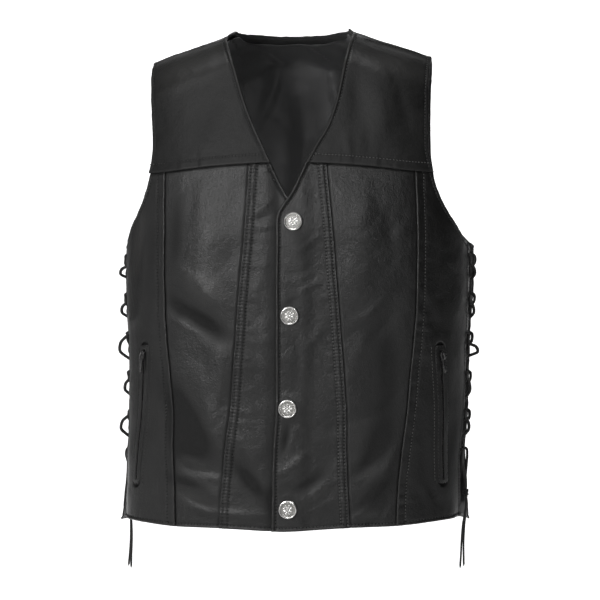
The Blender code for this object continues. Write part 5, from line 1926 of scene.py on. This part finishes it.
def settle(thing, place, material):
    # puts a finished hard piece in its place, with the place in its mesh
    thing.data.transform(place)
    thing.data.materials.clear()
    thing.data.materials.append(material)
    bpy.ops.object.select_all(action="DESELECT")
    thing.select_set(True)
    bpy.context.view_layer.objects.active = thing
    bpy.ops.object.shade_smooth_by_angle(angle=smoothBelow)
    return thing


def makeSlider(side):
    word, tail = sideWord[side], sideTail[side]
    place = sliderFrame(side)
    wide, long, tall = zipper["sliderSize"]
    body = roundedBlock("zipSlider" + tail, (wide, long, tall), (0, 0, tall / 2), zipper["sliderCorner"], 5)
    # the body narrows towards the closed end of the zip
    bpy.ops.object.mode_set(mode="EDIT")
    bpy.ops.mesh.select_all(action="DESELECT")
    bpy.ops.mesh.select_mode(type="VERT")
    mesh = bmesh.from_edit_mesh(body.data)
    for vert in mesh.verts:
        vert.select_set(vert.co.y < -long / 4)
    bmesh.update_edit_mesh(body.data)
    bpy.ops.transform.resize(value=(zipper["sliderNarrow"], 1, 1))
    bpy.ops.object.mode_set(mode="OBJECT")
    applyModifier(body, "BEVEL", width=zipper["sliderBevel"], segments=3, limit_method="ANGLE")
    bpy.ops.mesh.primitive_torus_add(
        major_radius=zipper["archRadius"], minor_radius=zipper["archWire"],
        major_segments=36, minor_segments=12, location=(0, 0, tall), rotation=(0, math.pi / 2, 0),
    )
    arch = bpy.context.object
    arch.scale = zipper["archScale"]
    bpy.ops.object.transform_apply()
    joinInto(body, arch)
    onVest(settle(body, place, darkMetal), "dark_metal", "zip_slider_" + word)

    hinge = place @ Matrix.Translation((0, 0, tall + zipper["archWindow"] / 2))
    wide, long, tall = zipper["tabSize"]
    bar = zipper["tabBar"]
    tab = roundedBlock("zipPull" + tail, (wide, long, tall), (0, bar / 2 - long / 2, 0), zipper["tabCorner"], 6)
    gap = zipper["tabWindow"]
    middle = (0, -bar / 2 - gap[1] / 2, 0)
    window = roundedBlock("tabWindow", (*gap, 4 * tall), middle, zipper["windowCorner"], 4)
    applyModifier(tab, "BOOLEAN", object=window, operation="DIFFERENCE", solver="EXACT")
    bpy.data.objects.remove(window)
    size = (wide - zipper["panelMargin"], long * zipper["panelLong"], tall + zipper["panelRise"])
    panel = roundedBlock("tabPanel", size, (0, -long * zipper["panelAt"], 0), zipper["panelCorner"], 4)
    applyModifier(panel, "BEVEL", width=zipper["panelBevel"], segments=2, limit_method="ANGLE")
    applyModifier(tab, "BEVEL", width=zipper["tabBevel"], segments=2, limit_method="ANGLE")
    joinInto(tab, panel)
    onVest(settle(tab, hinge, darkMetal), "dark_metal", "zip_pull_" + word, body="pull_" + word)


for side in (left, right):
    makeWelt(side)
    makeZip(side)
    makeSlider(side)
print("pockets made")


def makeSnap(number):
    # a turned cap with a beaded ring and a rosette in low relief
    bpy.ops.object.select_all(action="DESELECT")
    profile = snaps["profile"]
    bpy.ops.mesh.primitive_circle_add(vertices=snaps["sides"], radius=profile[0][0], fill_type="NGON")
    cap = bpy.context.object
    cap.name = "snap%d" % number
    bpy.ops.object.mode_set(mode="EDIT")
    bpy.ops.mesh.select_mode(type="FACE")
    bpy.ops.mesh.select_all(action="SELECT")
    for (lowRadius, low), (radius, high) in zip(profile, profile[1:]):
        bpy.ops.mesh.extrude_region_move(TRANSFORM_OT_translate={"value": (0, 0, high - low)})
        bpy.ops.transform.resize(value=(radius / lowRadius, radius / lowRadius, 1))
    bpy.ops.mesh.poke()
    bpy.ops.object.mode_set(mode="OBJECT")
    relief = []

    def spotAt(radius, turn, out):
        return (radius * math.cos(turn), radius * math.sin(turn), out)

    for i in range(snaps["beads"]):
        spot = spotAt(snaps["beadAt"], 2 * math.pi * i / snaps["beads"], snaps["beadOut"])
        bpy.ops.mesh.primitive_ico_sphere_add(subdivisions=2, radius=snaps["beadSize"], location=spot)
        relief.append(bpy.context.object)
    for i in range(snaps["petals"]):
        turn = 2 * math.pi * (i + 0.5) / snaps["petals"]
        spot = spotAt(snaps["petalAt"], turn, snaps["fieldOut"])
        bpy.ops.mesh.primitive_uv_sphere_add(segments=16, ring_count=10, location=spot, rotation=(0, 0, turn))
        bpy.context.object.scale = snaps["petalSize"]
        relief.append(bpy.context.object)
    bpy.ops.mesh.primitive_uv_sphere_add(segments=20, ring_count=12, location=(0, 0, snaps["fieldOut"]))
    bpy.context.object.scale = snaps["boss"]
    relief.append(bpy.context.object)
    joinInto(cap, *relief)
    heights = np.array([vert.co.z for vert in cap.data.vertices])
    raised = np.clip((heights - snaps["hollowOut"]) / snaps["reliefTall"], 0, 1)
    layer = cap.data.attributes.new("relief", "FLOAT", "POINT")
    layer.data.foreach_set("value", raised.astype(np.float32))
    angle, drop = frontSpot(snaps["across"][number - 1], snaps["drop"][number - 1])
    below = belowOf(front, angle, drop)
    out = Vector(outward(angle, below))
    seat = Vector(formPoint(angle, below)) + out * (vest["leather"] + vest["layerGap"] + vest["seamGap"])
    spin = Matrix.Rotation(snaps["spin"] * number, 4, "Z")
    place = Matrix.Translation(seat) @ out.to_track_quat("Z", "Y").to_matrix().to_4x4() @ spin
    onVest(settle(cap, place, nickel), "nickel", "snap_%d" % number)


for number in range(1, len(snaps["drop"]) + 1):
    makeSnap(number)
print("snaps made")


def makeThreads():
    # the stitches of a piece, and the needle holes between them as small dimples painted near black for the
    # shade inside them
    radius, rise = sewing["holeRadius"], sewing["holeRise"]
    turns = np.linspace(0, 2 * math.pi, sewing["holeSides"], endpoint=False)
    for name, (points, faces, paints) in threads.items():
        for middle, normal, cross in holes[name]:
            along = np.cross(cross, normal)
            first = len(points)
            points.append(middle + normal * rise)
            for turn in turns:
                rimWay = cross * math.cos(turn) + along * math.sin(turn)
                points.append(middle + radius * rimWay - normal * rise)
            for i in range(len(turns)):
                faces.append((first, first + 1 + (i + 1) % len(turns), first + 1 + i))
            paints += [2] * len(turns)
        title = "stitches" + name[0].upper() + name[1:]
        onVest(addMesh(title, points, faces, [threadPaintedLit, threadPaintedShaded, needleHoleShade], paints), "zip_tape")


makeThreads()
print("stitches made")

studio = {
    "floorDrop": 0.86,
    "floorSize": 11.0,
    "wallBack": 4.6,
    "curve": 1.2,
    "curveSteps": 24,
    "world": 0.02,
    "skyline": 0.93,
    "glowFrom": 0.25,
    "glowOver": 0.45,
    "glowHalf": 1.5,
    "glowEdge": 0.7,
    # name, place, aim, size, watts
    "lamps": [
        ("keyLamp", (-1.35, -2.9, 0.62), (0.0, 0.0, -0.35), (0.8, 0.8), 33.5),
        ("frontLamp", (0.60, -3.2, 0.75), (0.0, 0.0, -0.35), (0.5, 0.7), 14),
        ("topLamp", (-0.2, -0.75, 2.1), (0.0, 0.0, -0.2), (1.6, 0.9), 34),
        ("sideLamp", (-2.8, -1.15, 0.0), (0.0, 0.0, -0.35), (1.0, 1.4), 5.5),
        ("rimLamp", (-2.7, 0.35, -0.05), (0.0, 0.0, -0.35), (0.8, 1.4), 1.6),
    ],
}


def makeStudio():
    scene = bpy.context.scene
    scene.view_settings.view_transform = "Standard"
    world = bpy.data.worlds.new("studioWorld")
    scene.world = world
    world.use_nodes = True
    # pale all round to look at, but dim as a light
    nodes = world.node_tree.nodes
    sky = nodes["Background"]
    sky.inputs["Color"].default_value = (1, 1, 1, 1)
    sky.inputs["Strength"].default_value = studio["world"]
    pale = nodes.new("ShaderNodeBackground")
    pale.inputs["Color"].default_value = (1, 1, 1, 1)
    pale.inputs["Strength"].default_value = studio["skyline"]
    seen = nodes.new("ShaderNodeMixShader")
    world.node_tree.links.new(nodes.new("ShaderNodeLightPath").outputs["Is Camera Ray"], seen.inputs[0])
    world.node_tree.links.new(sky.outputs[0], seen.inputs[1])
    world.node_tree.links.new(pale.outputs[0], seen.inputs[2])
    world.node_tree.links.new(seen.outputs[0], nodes["World Output"].inputs["Surface"])
    for name, place, aim, size, watts in studio["lamps"]:
        lamp = bpy.data.lights.new(name, "AREA")
        lamp.shape = "RECTANGLE"
        lamp.size, lamp.size_y = size
        lamp.energy = watts
        thing = bpy.data.objects.new(name, lamp)
        scene.collection.objects.link(thing)
        thing.location = place
        thing.rotation_euler = (Vector(aim) - Vector(place)).to_track_quat("-Z", "Y").to_euler()

    bpy.ops.object.select_all(action="DESELECT")
    size = studio["floorSize"]
    middle = (0, studio["wallBack"] - size / 2, -studio["floorDrop"])
    bpy.ops.mesh.primitive_plane_add(size=size, location=middle)
    floor = bpy.context.object
    floor.name = "paleFloor"
    bpy.ops.object.transform_apply(location=True)
    bpy.ops.object.mode_set(mode="EDIT")
    bpy.ops.mesh.select_mode(type="EDGE")
    bpy.ops.mesh.select_all(action="DESELECT")
    mesh = bmesh.from_edit_mesh(floor.data)
    for edge in mesh.edges:
        edge.select_set(all(vert.co.y > studio["wallBack"] - 0.01 for vert in edge.verts))
    bmesh.update_edit_mesh(floor.data)
    bpy.ops.mesh.extrude_region_move(TRANSFORM_OT_translate={"value": (0, 0, size / 2)})
    bpy.ops.object.mode_set(mode="OBJECT")
    applyModifier(floor, "BEVEL", width=studio["curve"], segments=studio["curveSteps"])
    bpy.ops.object.shade_smooth()
    paint = Paint("paleSweep", Roughness=0.9, Emission_Strength=1.0)
    cloud = paint.noise(0.6, 2.0)
    tone = paint.mix(cloud, (0.93, 0.93, 0.93), (0.96, 0.96, 0.96))
    aside = paint.node("ShaderNodeSeparateXYZ", None, {"Vector": paint.place()}, output="X")
    depth = paint.node("ShaderNodeSeparateXYZ", None, {"Vector": paint.place()}, output="Y")
    aside = aside.sum("ABSOLUTE", aside, 0.0)
    behind = paint.node("ShaderNodeClamp", None, {"Value": (depth - studio["glowFrom"]) / studio["glowOver"]})
    inside = 1 - (aside - studio["glowHalf"]) / studio["glowEdge"]
    glow = behind * paint.node("ShaderNodeClamp", None, {"Value": inside})
    paint.set(Base_Color=tone, Emission_Color=paint.mix(glow, (0.0, 0.0, 0.0), tone))
    floor.data.materials.append(paint.material)


makeStudio()
print("studio lit")

meshes = [thing.data for thing in bpy.context.scene.objects if thing.type == "MESH"]
print("triangles in the scene:", sum(len(face.vertices) - 2 for mesh in meshes for face in mesh.polygons))
